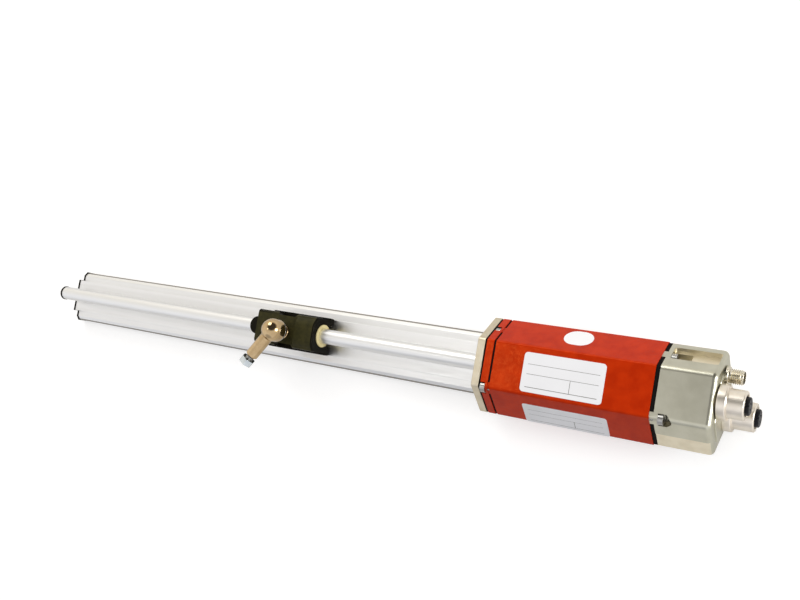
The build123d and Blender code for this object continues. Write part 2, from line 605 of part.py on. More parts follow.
with BuildPart() as connector_cap:
    with BuildSketch(Plane.YZ.offset(CAP_X)):
        add(head_section(0, CAP_CORNER_RADIUS))
    extrude(amount=CAP_LENGTH)
    shoulder = connector_cap.faces().sort_by(Axis.X)[-1].outer_wire().edges()
    fillet(shoulder, CAP_SHOULDER_RADIUS)
    for side in (-1, 1):
        step_y, step_z = face_spot(CAP_STEP_ALONG_FACE, 0)
        step_spot = (-side * step_y, HEAD_Z + side * (step_z - HEAD_Z))
        with BuildSketch(pocket_plane(step_spot, -side, side)):
            with Locations((CAP_STEP_WIDTH / 2, CAP_LENGTH / 2)):
                Rectangle(CAP_STEP_WIDTH, 2 * CAP_LENGTH)
        extrude(amount=CAP_STEP_DEPTH, both=True, mode=Mode.SUBTRACT)
    with BuildSketch(Plane.YZ.offset(CAP_SHOULDER_X)):
        add(head_section(CAP_RIM_INSET))
    extrude(amount=CAP_RIM_STEP)
    chamfer(connector_cap.faces().sort_by(Axis.X)[-1].outer_wire().edges(), CAP_RIM_CHAMFER)
    with BuildSketch(Plane.YZ.offset(CAP_X)):
        add(cap_window())
    extrude(amount=CAP_LENGTH + CAP_RIM_STEP - CAP_END_WALL, mode=Mode.SUBTRACT)
    for spot, side in ((POCKET_SPOT, 1), (half_turn(POCKET_SPOT), -1)):
        with BuildSketch(pocket_plane(spot, side, side)):
            with Locations((0, POCKET_LENGTH / 2)):
                RectangleRounded(POCKET_WIDTH, POCKET_LENGTH, 1.2)
        extrude(amount=POCKET_DEPTH, both=True, mode=Mode.SUBTRACT)
        with BuildSketch(pocket_plane(spot, side, side)):
            with Locations((0, POCKET_WELL_LENGTH / 2)):
                RectangleRounded(POCKET_WELL_WIDTH, POCKET_WELL_LENGTH, 1.2)
        extrude(amount=POCKET_WELL_DEPTH, both=True, mode=Mode.SUBTRACT)
    with BuildSketch(Plane.YZ.offset(CAP_X + CAP_SEAT_THICKNESS)):
        with Locations(*HEAD_SCREW_SPOTS):
            Circle((SCREW_HEAD_DIAMETER + HEAD_POCKET_CLEARANCE) / 2)
    extrude(amount=HEAD_NOTCH_LENGTH, mode=Mode.SUBTRACT)
    with BuildSketch(Plane.YZ.offset(CAP_X + CAP_SEAT_THICKNESS + HEAD_NOTCH_LENGTH)):
        with Locations(CORNER_SPOT, half_turn(CORNER_SPOT)):
            Circle((SCREW_HEAD_DIAMETER + HEAD_POCKET_CLEARANCE) / 2)
    extrude(amount=HEAD_NOTCH_TAPER, taper=NOTCH_TAPER_ANGLE, mode=Mode.SUBTRACT)
    with BuildSketch(Plane.YZ.offset(CAP_X)):
        with Locations(*HEAD_SCREW_SPOTS):
            Circle((SCREW_SHANK_DIAMETER + SCREW_HOLE_CLEARANCE) / 2)
    extrude(amount=CAP_SEAT_THICKNESS, mode=Mode.SUBTRACT)
    with BuildSketch(Plane.YZ.offset(CAP_FACE_X)):
        with Locations(*M12_SPOTS.values()):
            Circle((M12_TAIL_DIAMETER + SCREW_HOLE_CLEARANCE) / 2)
        with Locations((M8_Y, M8_Z)):
            Circle((M8_TAIL_DIAMETER + SCREW_HOLE_CLEARANCE) / 2)
    extrude(amount=-CAP_END_WALL, mode=Mode.SUBTRACT)
    with BuildSketch(Plane.YZ.offset(CAP_X)):
        with Locations(*HEAD_SCREW_SPOTS):
            Circle(SCREW_BOSS_RADIUS)
        add(head_section(0.4), mode=Mode.INTERSECT)
        with Locations(*HEAD_SCREW_SPOTS):
            Circle((SCREW_SHANK_DIAMETER + SCREW_HOLE_CLEARANCE) / 2, mode=Mode.SUBTRACT)
    extrude(amount=-REAR_GASKET_THICKNESS)
save(connector_cap.part, "connector_cap")

# Sockets with a round collar, a threaded bore and a keyed insert
for name, spot in M12_SPOTS.items():
    socket_length = M12_LENGTHS[name]
    with BuildPart() as shell:
        with BuildSketch(Plane.YZ.offset(CAP_FACE_X)):
            with Locations(spot):
                Circle(M12_COLLAR_DIAMETER / 2)
        extrude(amount=M12_COLLAR_LENGTH)
        chamfer(shell.faces().sort_by(Axis.X)[-1].edges(), 0.4)
        with BuildSketch(Plane.YZ.offset(CAP_FACE_X)):
            with Locations(spot):
                Circle(M12_SHELL_DIAMETER / 2)
        extrude(amount=socket_length)
        chamfer(shell.faces().sort_by(Axis.X)[-1].edges(), 0.5)
        with BuildSketch(Plane.YZ.offset(CAP_FACE_X - CONNECTOR_TAIL - CONTACT_TAIL)):
            with Locations(spot):
                Circle(M12_TAIL_DIAMETER / 2)
        extrude(amount=CONNECTOR_TAIL + CONTACT_TAIL)
        with BuildSketch(Plane.YZ.offset(CAP_FACE_X + socket_length)):
            with Locations(spot):
                Circle(M12_BORE / 2)
        extrude(amount=-M12_BORE_DEPTH, mode=Mode.SUBTRACT)
        with BuildSketch(Plane.YZ.offset(CAP_FACE_X - CONNECTOR_TAIL - CONTACT_TAIL)):
            with Locations(spot):
                Circle(M12_INSERT_DIAMETER / 2)
        extrude(amount=socket_length + CONNECTOR_TAIL + CONTACT_TAIL, mode=Mode.SUBTRACT)
    save(shell.part, f"{name}_socket_shell")

    insert_length = CONNECTOR_TAIL + CONTACT_TAIL + socket_length + M12_INSERT_PROUD
    with BuildPart() as insert:
        with BuildSketch(Plane.YZ.offset(CAP_FACE_X - CONNECTOR_TAIL - CONTACT_TAIL)):
            with Locations(spot):
                Circle(M12_INSERT_DIAMETER / 2)
        extrude(amount=insert_length)
        chamfer(insert.faces().sort_by(Axis.X)[-1].edges(), 0.4)
        with BuildSketch(Plane.YZ.offset(CAP_FACE_X + socket_length + M12_INSERT_PROUD)):
            with Locations(spot):
                with PolarLocations(M12_CONTACT_PITCH / 2, 4, start_angle=45):
                    Circle(M12_CONTACT_DIAMETER / 2)
            with Locations((spot[0], spot[1] + M12_INSERT_DIAMETER / 2)):
                Circle(M12_CONTACT_DIAMETER / 2)
        extrude(amount=-M12_CONTACT_DEPTH, mode=Mode.SUBTRACT)
    save(insert.part, f"{name}_socket_insert")

# Power plug
with BuildPart() as plug_shell:
    with BuildSketch(Plane.YZ.offset(CAP_FACE_X)):
        with Locations((M8_Y, M8_Z)):
            Circle(M8_COLLAR_DIAMETER / 2)
    extrude(amount=M8_COLLAR_LENGTH)
    with BuildSketch(Plane.YZ.offset(CAP_FACE_X)):
        with Locations((M8_Y, M8_Z)):
            Circle(M8_THREAD_DIAMETER / 2)
    extrude(amount=M8_LENGTH)
    chamfer(plug_shell.faces().sort_by(Axis.X)[-1].edges(), 0.4)
    with BuildSketch(Plane.YZ.offset(CAP_FACE_X - M8_TAIL_LENGTH)):
        with Locations((M8_Y, M8_Z)):
            Circle(M8_TAIL_DIAMETER / 2)
    extrude(amount=M8_TAIL_LENGTH)
    with BuildSketch(Plane.YZ.offset(CAP_FACE_X)):
        with Locations((M8_Y, M8_Z)):
            Circle(M8_BORE / 2)
    extrude(amount=M8_LENGTH, mode=Mode.SUBTRACT)
    with BuildSketch(Plane.YZ.offset(CAP_FACE_X - M8_TAIL_LENGTH)):
        with Locations((M8_Y, M8_Z)):
            Circle(M8_BORE / 2 - 0.8)
    extrude(amount=M8_TAIL_LENGTH, mode=Mode.SUBTRACT)
save(plug_shell.part, "plug_shell")

with BuildPart() as plug_insert:
    with BuildSketch(Plane.YZ.offset(CAP_FACE_X)):
        with Locations((M8_Y, M8_Z)):
            Circle(M8_BORE / 2)
    extrude(amount=M8_COLLAR_LENGTH)
    with BuildSketch(Plane.YZ.offset(CAP_FACE_X - M8_TAIL_LENGTH)):
        with Locations((M8_Y, M8_Z)):
            Circle(M8_BORE / 2 - 0.8)
    extrude(amount=M8_TAIL_LENGTH)
    with BuildSketch(Plane.YZ.offset(CAP_FACE_X - M8_TAIL_LENGTH)):
        with Locations((M8_Y, M8_Z)):
            with PolarLocations(M8_PIN_SPREAD / 2, 4, start_angle=45):
                Circle(M8_PIN_DIAMETER / 2)
    extrude(amount=M8_TAIL_LENGTH + M8_COLLAR_LENGTH, mode=Mode.SUBTRACT)
save(plug_insert.part, "plug_insert")

with BuildPart() as plug_pins:
    with BuildSketch(Plane.YZ.offset(CAP_FACE_X - M8_TAIL_LENGTH)):
        with Locations((M8_Y, M8_Z)):
            with PolarLocations(M8_PIN_SPREAD / 2, 4, start_angle=45):
                Circle(M8_PIN_DIAMETER / 2)
    extrude(amount=M8_TAIL_LENGTH + M8_PIN_LENGTH)
save(plug_pins.part, "plug_pins")

# Rings inside the cap that lock the connectors
with BuildPart() as lock_rings:
    with BuildSketch(Plane.YZ.offset(CAP_FACE_X - CAP_END_WALL)):
        with Locations(*M12_SPOTS.values()):
            Circle(M12_TAIL_DIAMETER / 2 + LOCK_RING_WIDTH)
        add(cap_window(), mode=Mode.INTERSECT)
        with Locations(*M12_SPOTS.values()):
            Circle(M12_TAIL_DIAMETER / 2, mode=Mode.SUBTRACT)
    extrude(amount=-LOCK_RING_THICKNESS)
save(lock_rings.part, "lock_rings")

# Slider body: an arch that wraps the tube and clears the neck
SLIDER_START = SLIDER_CENTRE_X - SLIDER_LENGTH / 2
SLIDER_END = SLIDER_START + SLIDER_LENGTH
SLIDER_BOTTOM = PLATFORM_TOP + SLIDER_FOOT_GAP
THROAT_Z = TUBE_Z - sqrt(SLIDER_BORE_RADIUS**2 - SLIDER_THROAT**2)


def slider_arch(top):
    """Draw the outside of the slider's section in the open sketch, up to a height."""
    with Locations((0, (SLIDER_BOTTOM + TUBE_Z + top) / 2)):
        Rectangle(2 * SLIDER_HALF_WIDTH, TUBE_Z + top - SLIDER_BOTTOM)


with BuildPart() as slider_body:
    with BuildSketch(Plane.YZ.offset(SLIDER_START)) as low_arch:
        slider_arch(SLIDER_TOP)
        fillet(low_arch.vertices().group_by(Axis.Y)[-1], SLIDER_SHOULDER_RADIUS)
    extrude(amount=SLIDER_LENGTH)
    with BuildSketch(Plane.YZ.offset(SLIDER_END - SLIDER_SADDLE_LENGTH)) as high_arch:
        slider_arch(SLIDER_SADDLE_TOP)
        fillet(high_arch.vertices().group_by(Axis.Y)[-1], SLIDER_SADDLE_RADIUS)
    extrude(amount=SLIDER_SADDLE_LENGTH)
    with BuildSketch(Plane.YZ.offset(SLIDER_START)):
        with Locations((0, SLIDER_BOTTOM + SLIDER_FOOT_HEIGHT / 2)):
            Rectangle(2 * SLIDER_FOOT_HALF_WIDTH, SLIDER_FOOT_HEIGHT)
    extrude(amount=SLIDER_LENGTH)
    upright = slider_body.edges().filter_by(Axis.Z)
    fillet(upright.filter_by_position(Axis.Z, SLIDER_BOTTOM, SLIDER_BOTTOM + SLIDER_FOOT_HEIGHT), 1.0)
    tongue_top = TUBE_Z + SLIDER_TOP - 0.6
    with BuildSketch(Plane.XY.offset(tongue_top)):
        with Locations((SLIDER_START, 0)):
            Ellipse(SLIDER_TONGUE_LENGTH, SLIDER_TONGUE_RADIUS)
    extrude(amount=-SLIDER_TONGUE_THICKNESS)
    with BuildSketch(Plane.YZ.offset(SLIDER_START - SLIDER_TONGUE_LENGTH)):
        with Locations((0, TUBE_Z)):
            Circle(SLIDER_BORE_RADIUS + 0.3)
    extrude(amount=SLIDER_TONGUE_LENGTH, mode=Mode.SUBTRACT)
    for side in (-1, 1):
        with BuildSketch(Plane.XY.offset(TUBE_Z + SLIDER_TOP)):
            with Locations((SLIDER_CENTRE_X, side * SLIDER_HALF_WIDTH)):
                RectangleRounded(SLIDER_SCALLOP_LENGTH, 2 * SLIDER_SCALLOP_DEPTH, 1.4)
        extrude(amount=-(SLIDER_TOP - SLIDER_SCALLOP_FLOOR), mode=Mode.SUBTRACT)
    with BuildSketch(Plane.YZ.offset(SLIDER_START)) as bore_section:
        with Locations((0, TUBE_Z)):
            Circle(SLIDER_BORE_RADIUS)
        with BuildLine():
            Polyline(
                (-SLIDER_THROAT, THROAT_Z),
                (SLIDER_THROAT, THROAT_Z),
                (SLIDER_LEG_INNER, SLIDER_BOTTOM),
                (-SLIDER_LEG_INNER, SLIDER_BOTTOM),
                close=True,
            )
        make_face()
    extrude(amount=SLIDER_LENGTH, mode=Mode.SUBTRACT)
    with BuildSketch(Plane.XY.offset(TUBE_Z + SLIDER_TOP)):
        with Locations((STUD_X, STUD_Y)):
            Circle(STUD_THREAD_DIAMETER / 2)
    extrude(amount=-(SLIDER_TOP - SLIDER_BORE_RADIUS) - 0.5, mode=Mode.SUBTRACT)
save(slider_body.part, "slider_body")


def open_ring(start, length, inner, outer, slot):
    """Ring round the tube with a slot underneath that lets the neck pass."""
    with BuildPart() as ring:
        with BuildSketch(Plane.YZ.offset(start)):
            with Locations((0, TUBE_Z)):
                Circle(outer)
                Circle(inner, mode=Mode.SUBTRACT)
            with Locations((0, TUBE_Z - outer)):
                Rectangle(slot, 2 * outer, mode=Mode.SUBTRACT)
        extrude(amount=length)
    return ring.part


# Glide liners at both ends of the slider and the magnet between them
LINER_INNER = TUBE_RADIUS + LINER_RUNNING_GAP
LINER_OUTER = SLIDER_BORE_RADIUS - LINER_SEAT_GAP
rear_liner = open_ring(
    SLIDER_START - LINER_PROUD, LINER_LENGTH + LINER_PROUD, LINER_INNER, LINER_OUTER, LINER_SLOT
)
save(rear_liner, "rear_glide_liner")
front_liner = open_ring(
    SLIDER_END - LINER_LENGTH, LINER_LENGTH + LINER_PROUD, LINER_INNER, LINER_OUTER, LINER_SLOT
)
save(front_liner, "front_glide_liner")
magnet = open_ring(
    SLIDER_START + LINER_LENGTH,
    SLIDER_LENGTH - 2 * LINER_LENGTH,
    MAGNET_INNER_RADIUS,
    LINER_OUTER,
    LINER_SLOT,
)
save(magnet, "ring_magnet")

# Ball stud
BALL_RADIUS = BALL_DIAMETER / 2
BALL_Z = TUBE_Z + BALL_HEIGHT
COLLAR_Z = TUBE_Z + SLIDER_TOP
with BuildPart() as ball_stud:
    with BuildSketch(Plane.XZ) as stud_profile:
        with BuildLine():
            ball_side = sqrt(BALL_RADIUS**2 - (BALL_NECK_DIAMETER / 2) ** 2)
            neck_top = (BALL_NECK_DIAMETER / 2, BALL_Z - ball_side)
            crown = (0, BALL_Z + BALL_RADIUS)
            ThreePointArc(neck_top, (BALL_RADIUS, BALL_Z), crown)
            collar_top = COLLAR_Z + STUD_COLLAR_HEIGHT
            Polyline(
                neck_top,
                (BALL_NECK_DIAMETER / 2, collar_top + 1.2),
                (BALL_NECK_DIAMETER / 2 + 0.9, collar_top),
                (STUD_COLLAR_DIAMETER / 2 - 0.4, collar_top),
                (STUD_COLLAR_DIAMETER / 2, collar_top - 0.4),
                (STUD_COLLAR_DIAMETER / 2, COLLAR_Z),
                (STUD_THREAD_DIAMETER / 2, COLLAR_Z),
                (STUD_THREAD_DIAMETER / 2, COLLAR_Z - (SLIDER_TOP - LINER_OUTER) + 0.1),
                (0, COLLAR_Z - (SLIDER_TOP - LINER_OUTER) + 0.1),
                crown,
            )
        make_face()
    revolve(axis=Axis.Z)
ball_stud_part = Pos(STUD_X, STUD_Y, 0) * ball_stud.part
save(ball_stud_part, "ball_stud")

# Bearing cup and pressure cap: two thin shells that share the ball's centre
CUP_INNER = BALL_RADIUS + BALL_SHELL_GAP
CUP_OUTER = CUP_INNER + CUP_WALL
SPRING_INNER = CUP_OUTER + BALL_SHELL_GAP
SPRING_OUTER = SPRING_INNER + CAP_SPRING_WALL
SOCKET_INNER = SPRING_OUTER + BALL_SHELL_GAP


def shell_cap(inner, outer, edge_angle):
    """Part of a hollow sphere from its crown down to an angle from the stud's axis."""
    edge = radians(edge_angle)
    half_way = radians(edge_angle / 2)
    inner_edge = (inner * sin(edge), inner * cos(edge))
    outer_edge = (outer * sin(edge), outer * cos(edge))
    inner_middle = (inner * sin(half_way), inner * cos(half_way))
    outer_middle = (outer * sin(half_way), outer * cos(half_way))
    with BuildPart() as shell:
        with BuildSketch(Plane.XZ):
            with BuildLine():
                Line((0, inner), (0, outer))
                ThreePointArc((0, outer), outer_middle, outer_edge)
                Line(outer_edge, inner_edge)
                ThreePointArc(inner_edge, inner_middle, (0, inner))
            make_face()
        revolve(axis=Axis.Z)
    return Pos(STUD_X, STUD_Y, BALL_Z) * shell.part


save(shell_cap(CUP_INNER, CUP_OUTER, CUP_EDGE), "bearing_cup")
save(shell_cap(SPRING_INNER, SPRING_OUTER, CAP_SPRING_EDGE), "pressure_cap")

# Ball socket with its shank, modelled with the shank along +X and then turned
SOCKET_RADIUS = SOCKET_HEAD_DIAMETER / 2
with BuildPart() as ball_socket:
    with BuildSketch(Plane.XZ):
        with BuildLine():
            Line((0, -SOCKET_RIM_DEPTH), (0, SOCKET_RADIUS))
            ThreePointArc(
                (0, SOCKET_RADIUS),
                (SOCKET_RADIUS * cos(radians(45)), SOCKET_RADIUS * sin(radians(45))),
                (SOCKET_RADIUS, 0),
            )
            Polyline(
                (SOCKET_RADIUS, 0),
                (SOCKET_RADIUS, 0.8 - SOCKET_RIM_DEPTH),
                (SOCKET_RADIUS - 0.8, -SOCKET_RIM_DEPTH),
                (0, -SOCKET_RIM_DEPTH),
            )
        make_face()
    revolve(axis=Axis.Z)
    with BuildSketch(Plane.YZ):
        Circle(SHANK_DIAMETER / 2)
    extrude(amount=SHANK_REACH)
    chamfer(ball_socket.faces().sort_by(Axis.X)[-1].edges(), 0.5)
    lip_inner = BALL_RADIUS + BALL_SHELL_GAP
    lip_top_radius = sqrt(lip_inner**2 - SOCKET_STEP_DEPTH**2)
    lip_radius = sqrt(lip_inner**2 - SOCKET_MOUTH_DEPTH**2)
    with BuildSketch(Plane.XZ):
        with BuildLine():
            Line((0, -SOCKET_RIM_DEPTH), (0, SOCKET_INNER))
            ThreePointArc(
                (0, SOCKET_INNER),
                (SOCKET_INNER * cos(radians(45)), SOCKET_INNER * sin(radians(45))),
                (SOCKET_INNER, 0),
            )
            Polyline(
                (SOCKET_INNER, 0),
                (SOCKET_INNER, -SOCKET_STEP_DEPTH),
                (lip_top_radius, -SOCKET_STEP_DEPTH),
            )
            ThreePointArc(
                (lip_top_radius, -SOCKET_STEP_DEPTH),
                (lip_inner * cos(radians(20)), -lip_inner * sin(radians(20))),
                (lip_radius, -SOCKET_MOUTH_DEPTH),
            )
            Polyline(
                (lip_radius, -SOCKET_MOUTH_DEPTH),
                (SOCKET_RADIUS - 1.6, -SOCKET_RIM_DEPTH),
                (0, -SOCKET_RIM_DEPTH),
            )
        make_face()
    revolve(axis=Axis.Z, mode=Mode.SUBTRACT)
    with BuildSketch(Plane.YZ.offset(SHANK_REACH)):
        Circle(THREAD_DIAMETER / 2)
    extrude(amount=-THREAD_IN_SHANK, mode=Mode.SUBTRACT)

JOINT_PLACE = Location((STUD_X, STUD_Y, BALL_Z), (0, 0, SHANK_HEADING))
save(JOINT_PLACE * ball_socket.part, "ball_socket")

# Spring clip: a wire ring sprung into the mouth of the socket
with BuildPart() as retaining_clip:
    with BuildSketch(Plane.XZ):
        with Locations((SOCKET_RADIUS - 0.8, -SOCKET_RIM_DEPTH - CLIP_WIRE / 2)):
            Rectangle(CLIP_WIRE, CLIP_WIRE)
    revolve(axis=Axis.Z, revolution_arc=300)
save(JOINT_PLACE * retaining_clip.part, "retaining_clip")

# Threaded pin and lock nut in the end of the shank
with BuildPart() as threaded_pin:
    with BuildSketch(Plane.YZ.offset(SHANK_REACH - THREAD_IN_SHANK)):
        Circle(THREAD_DIAMETER / 2)
    extrude(amount=THREAD_IN_SHANK + THREAD_OUT)
    chamfer(threaded_pin.faces().sort_by(Axis.X)[-1].edges(), 0.5)
save(JOINT_PLACE * threaded_pin.part, "threaded_pin")

with BuildPart() as lock_nut:
    with BuildSketch(Plane.YZ.offset(SHANK_REACH + NUT_OFFSET)):
        RegularPolygon(NUT_ACROSS_FLATS / 2, 6, major_radius=False)
    extrude(amount=NUT_HEIGHT)
    nut_reach = NUT_ACROSS_FLATS / 2 / cos(radians(30)) - 0.15
    with BuildSketch(Plane.YZ.offset(SHANK_REACH + NUT_OFFSET)):
        Circle(nut_reach)
    extrude(amount=NUT_HEIGHT, mode=Mode.INTERSECT)
    with BuildSketch(Plane.YZ.offset(SHANK_REACH + NUT_OFFSET)):
        Circle(THREAD_DIAMETER / 2)
    extrude(amount=NUT_HEIGHT, mode=Mode.SUBTRACT)
save(JOINT_PLACE * lock_nut.part, "lock_nut")

# Sensing element: support tube, magnetostrictive wire, return wire, coil and damper
ELEMENT_START = RAIL_END + ELEMENT_END_GAP
ELEMENT_REACH = BLOCK_START + BLOCK_GRIP
DAMPER_X = BLOCK_START + BLOCK_LENGTH + COIL_LENGTH


def rod_along_rail(start, end, radius, bore=0.0, across=0.0):
    """Round rod or tube beside the rail tube's axis."""
    with BuildPart() as rod:
        with BuildSketch(Plane.YZ.offset(start)):
            with Locations((across, TUBE_Z)):
                Circle(radius)
                if bore > 0:
                    Circle(bore, mode=Mode.SUBTRACT)
        extrude(amount=end - start)
    return rod.part


element_tube = rod_along_rail(
    ELEMENT_START, ELEMENT_REACH, ELEMENT_TUBE_DIAMETER / 2, ELEMENT_TUBE_BORE / 2
)
save(element_tube, "element_tube")
wave_wire = rod_along_rail(
    ELEMENT_START, DAMPER_X, WIRE_DIAMETER / 2, across=0.1 - RETURN_WIRE_OFFSET / 2
)
save(wave_wire, "magnetostrictive_wire")
return_wire = rod_along_rail(
    ELEMENT_START, ELEMENT_REACH, RETURN_WIRE_DIAMETER / 2, across=0.15 + RETURN_WIRE_OFFSET / 2
)
save(return_wire, "return_wire")

# Block that holds the element in the head, rounded on top to follow the tube
BLOCK_FLOOR_Z = TRAY_FLOOR_Z + TRAY_THICKNESS
with BuildPart() as element_block:
    with BuildSketch(Plane.YZ.offset(BLOCK_START)):
        with Locations((0, (BLOCK_FLOOR_Z + TUBE_Z) / 2)):
            Rectangle(BLOCK_WIDTH, TUBE_Z - BLOCK_FLOOR_Z)
        with Locations((0, TUBE_Z)):
            Circle(BLOCK_CROWN)
    extrude(amount=BLOCK_LENGTH)
    with BuildSketch(Plane.YZ.offset(BLOCK_START)):
        with Locations((0, TUBE_Z)):
            Circle(ELEMENT_TUBE_BORE / 2)
    extrude(amount=BLOCK_LENGTH, mode=Mode.SUBTRACT)
    with BuildSketch(Plane.YZ.offset(BLOCK_START)):
        with Locations((0, TUBE_Z)):
            Circle(ELEMENT_TUBE_DIAMETER / 2)
    extrude(amount=BLOCK_GRIP, mode=Mode.SUBTRACT)
save(element_block.part, "element_block")

# Pickup coil round the wire, and the rubber damper at its end
pickup_coil = rod_along_rail(
    BLOCK_START + BLOCK_LENGTH, DAMPER_X, COIL_DIAMETER / 2, COIL_BORE / 2
)
save(pickup_coil, "pickup_coil")
damper = rod_along_rail(DAMPER_X, DAMPER_X + DAMPER_LENGTH, DAMPER_DIAMETER / 2)
save(damper, "element_damper")

# Tray that carries the electronics, from the plate to just short of the cap
TRAY_LENGTH = CAP_X - TRAY_END_GAP - PLATE_THICKNESS
with BuildPart() as circuit_tray:
    with BuildSketch(Plane.YZ.offset(PLATE_THICKNESS)):
        with Locations((0, TRAY_FLOOR_Z + TRAY_THICKNESS / 2)):
            Rectangle(TRAY_WIDTH, TRAY_THICKNESS)
        wall_y = (TRAY_WIDTH - TRAY_THICKNESS) / 2
        with Locations(
            (-wall_y, TRAY_FLOOR_Z + TRAY_WALL_HEIGHT / 2),
            (wall_y, TRAY_FLOOR_Z + TRAY_WALL_HEIGHT / 2),
        ):
            Rectangle(TRAY_THICKNESS, TRAY_WALL_HEIGHT)
    extrude(amount=TRAY_LENGTH)
save(circuit_tray.part, "circuit_tray")

# Two circuit boards on spacers, in the room between the damper and the cap
BOARD_START = DAMPER_X + DAMPER_LENGTH + BOARD_DAMPER_GAP
BOARD_LENGTH = CAP_X - BOARD_END_GAP - BOARD_START
BOARD_CENTRE_X = BOARD_START + BOARD_LENGTH / 2
SPACER_SPAN_X = BOARD_LENGTH - 2 * BOARD_SCREW_INSET
SPACER_SPAN_Y = BOARD_WIDTH - 2 * BOARD_SCREW_INSET
LOWER_BOARD_Z = BLOCK_FLOOR_Z + SPACER_HEIGHT
UPPER_BOARD_Z = LOWER_BOARD_Z + BOARD_THICKNESS + UPPER_SPACER_HEIGHT


def board_grid(height):
    """The four fixing points of a board at a height."""
    place = Location((BOARD_CENTRE_X, 0, height))
    return [place * spot for spot in GridLocations(SPACER_SPAN_X, SPACER_SPAN_Y, 2, 2)]


for name, height in (("interface_board", LOWER_BOARD_Z), ("signal_board", UPPER_BOARD_Z)):
    with BuildPart() as board:
        with Locations((BOARD_CENTRE_X, 0, height)):
            Box(
                BOARD_LENGTH,
                BOARD_WIDTH,
                BOARD_THICKNESS,
                align=(Align.CENTER, Align.CENTER, Align.MIN),
            )
        with Locations(*board_grid(height)):
            Cylinder(
                (BOARD_SCREW_DIAMETER + SCREW_HOLE_CLEARANCE) / 2,
                4 * BOARD_THICKNESS,
                mode=Mode.SUBTRACT,
            )
    save(board.part, name)

with BuildPart() as board_spacers:
    for height, length in (
        (BLOCK_FLOOR_Z, SPACER_HEIGHT),
        (LOWER_BOARD_Z + BOARD_THICKNESS, UPPER_SPACER_HEIGHT),
    ):
        with Locations(*board_grid(height)):
            Cylinder(SPACER_DIAMETER / 2, length, align=(Align.CENTER, Align.CENTER, Align.MIN))
            Cylinder(
                (BOARD_SCREW_DIAMETER + SCREW_HOLE_CLEARANCE) / 2,
                length,
                align=(Align.CENTER, Align.CENTER, Align.MIN),
                mode=Mode.SUBTRACT,
            )
save(board_spacers.part, "board_spacers")

SCREW_TOP_Z = UPPER_BOARD_Z + BOARD_THICKNESS
with BuildPart() as board_screws:
    with Locations(*board_grid(BLOCK_FLOOR_Z)):
        Cylinder(
            BOARD_SCREW_DIAMETER / 2,
            SCREW_TOP_Z - BLOCK_FLOOR_Z,
            align=(Align.CENTER, Align.CENTER, Align.MIN),
        )
    with Locations(*board_grid(SCREW_TOP_Z)):
        Cylinder(
            BOARD_SCREW_HEAD / 2,
            BOARD_SCREW_HEAD_HEIGHT,
            align=(Align.CENTER, Align.CENTER, Align.MIN),
        )
save(board_screws.part, "board_screws")
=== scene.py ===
import logging
from dataclasses import dataclass
from enum import Enum
from math import cos, hypot, pi, radians, sin
from typing import Any, Sequence

import bmesh
import bpy
from mathutils import Matrix, Vector


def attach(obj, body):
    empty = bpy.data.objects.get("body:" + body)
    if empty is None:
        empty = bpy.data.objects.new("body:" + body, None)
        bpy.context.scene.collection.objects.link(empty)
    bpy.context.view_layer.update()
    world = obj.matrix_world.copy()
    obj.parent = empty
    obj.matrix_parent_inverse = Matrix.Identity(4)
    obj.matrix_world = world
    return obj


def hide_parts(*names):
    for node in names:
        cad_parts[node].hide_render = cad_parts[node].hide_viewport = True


log = logging.getLogger("position_sensor")
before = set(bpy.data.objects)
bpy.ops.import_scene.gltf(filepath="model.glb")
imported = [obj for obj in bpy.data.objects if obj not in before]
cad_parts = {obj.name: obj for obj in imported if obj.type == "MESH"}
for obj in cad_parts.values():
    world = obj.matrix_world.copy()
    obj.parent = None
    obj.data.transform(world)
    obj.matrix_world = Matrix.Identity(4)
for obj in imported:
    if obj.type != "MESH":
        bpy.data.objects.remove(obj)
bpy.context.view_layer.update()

MM = 0.001
# Where a noise is all of its first and all of its second colour, and its octaves
MOTTLE_STOPS = (0.36, 0.64)
NOISE_DETAIL = 3.0
# Corners of a CAD mesh closer than this, in metres, are one
JOIN_DISTANCE = 2e-6
# Faces of a CAD mesh that differ by less than this angle, in degrees, are one
FLAT_DEG = 0.6
# Angles in degrees from which an edge is sharp: on a casting, on a thread and on a film
SHARP_DEG = 35.0
THREAD_DEG = 30.0
FILM_DEG = 30.0
# Angle in degrees from which an edge can get a wide rounding
WIDE_DEG = 20.0
# Faces across a narrow rounding
ROUND_SEGMENTS = 2
WHITE = "#FFFFFF"
Point = tuple[float, float]
Point3 = tuple[float, float, float]
Rule = tuple[float, float, float, float]
Colour = tuple[float, float, float, float]


class Body(Enum):
    """The bodies that the scene's pieces ride on."""

    HOUSING = "housing"
    SLIDER = "slider"
    SOCKET = "joint_socket"


def linear(hex_colour: str) -> Colour:
    """Turn an sRGB hex colour into linear red, green, blue and alpha.

    Args:
        hex_colour: Six hex digits after a hash sign.

    Returns:
        The linear colour with an alpha of 1.
    """
    values = [int(hex_colour[i : i + 2], 16) / 255 for i in (1, 3, 5)]
    channels = [v / 12.92 if v <= 0.04045 else ((v + 0.055) / 1.055) ** 2.4 for v in values]
    return (channels[0], channels[1], channels[2], 1.0)


def add_node(
    tree: bpy.types.NodeTree, kind: str, inputs: dict[Any, Any] | None = None, **settings: Any
) -> bpy.types.Node:
    """Add a node, set its properties and fill or link its inputs.

    Args:
        tree: The node tree that gets the node.
        kind: The node's type name.
        inputs: Values or output sockets by input name or number.
        **settings: Properties of the node.

    Returns:
        The new node.
    """
    node = tree.nodes.new(kind)
    for key, value in settings.items():
        setattr(node, key, value)
    for key, value in (inputs or {}).items():
        if isinstance(value, bpy.types.NodeSocket):
            tree.links.new(value, node.inputs[key])
        else:
            node.inputs[key].default_value = value
    return node


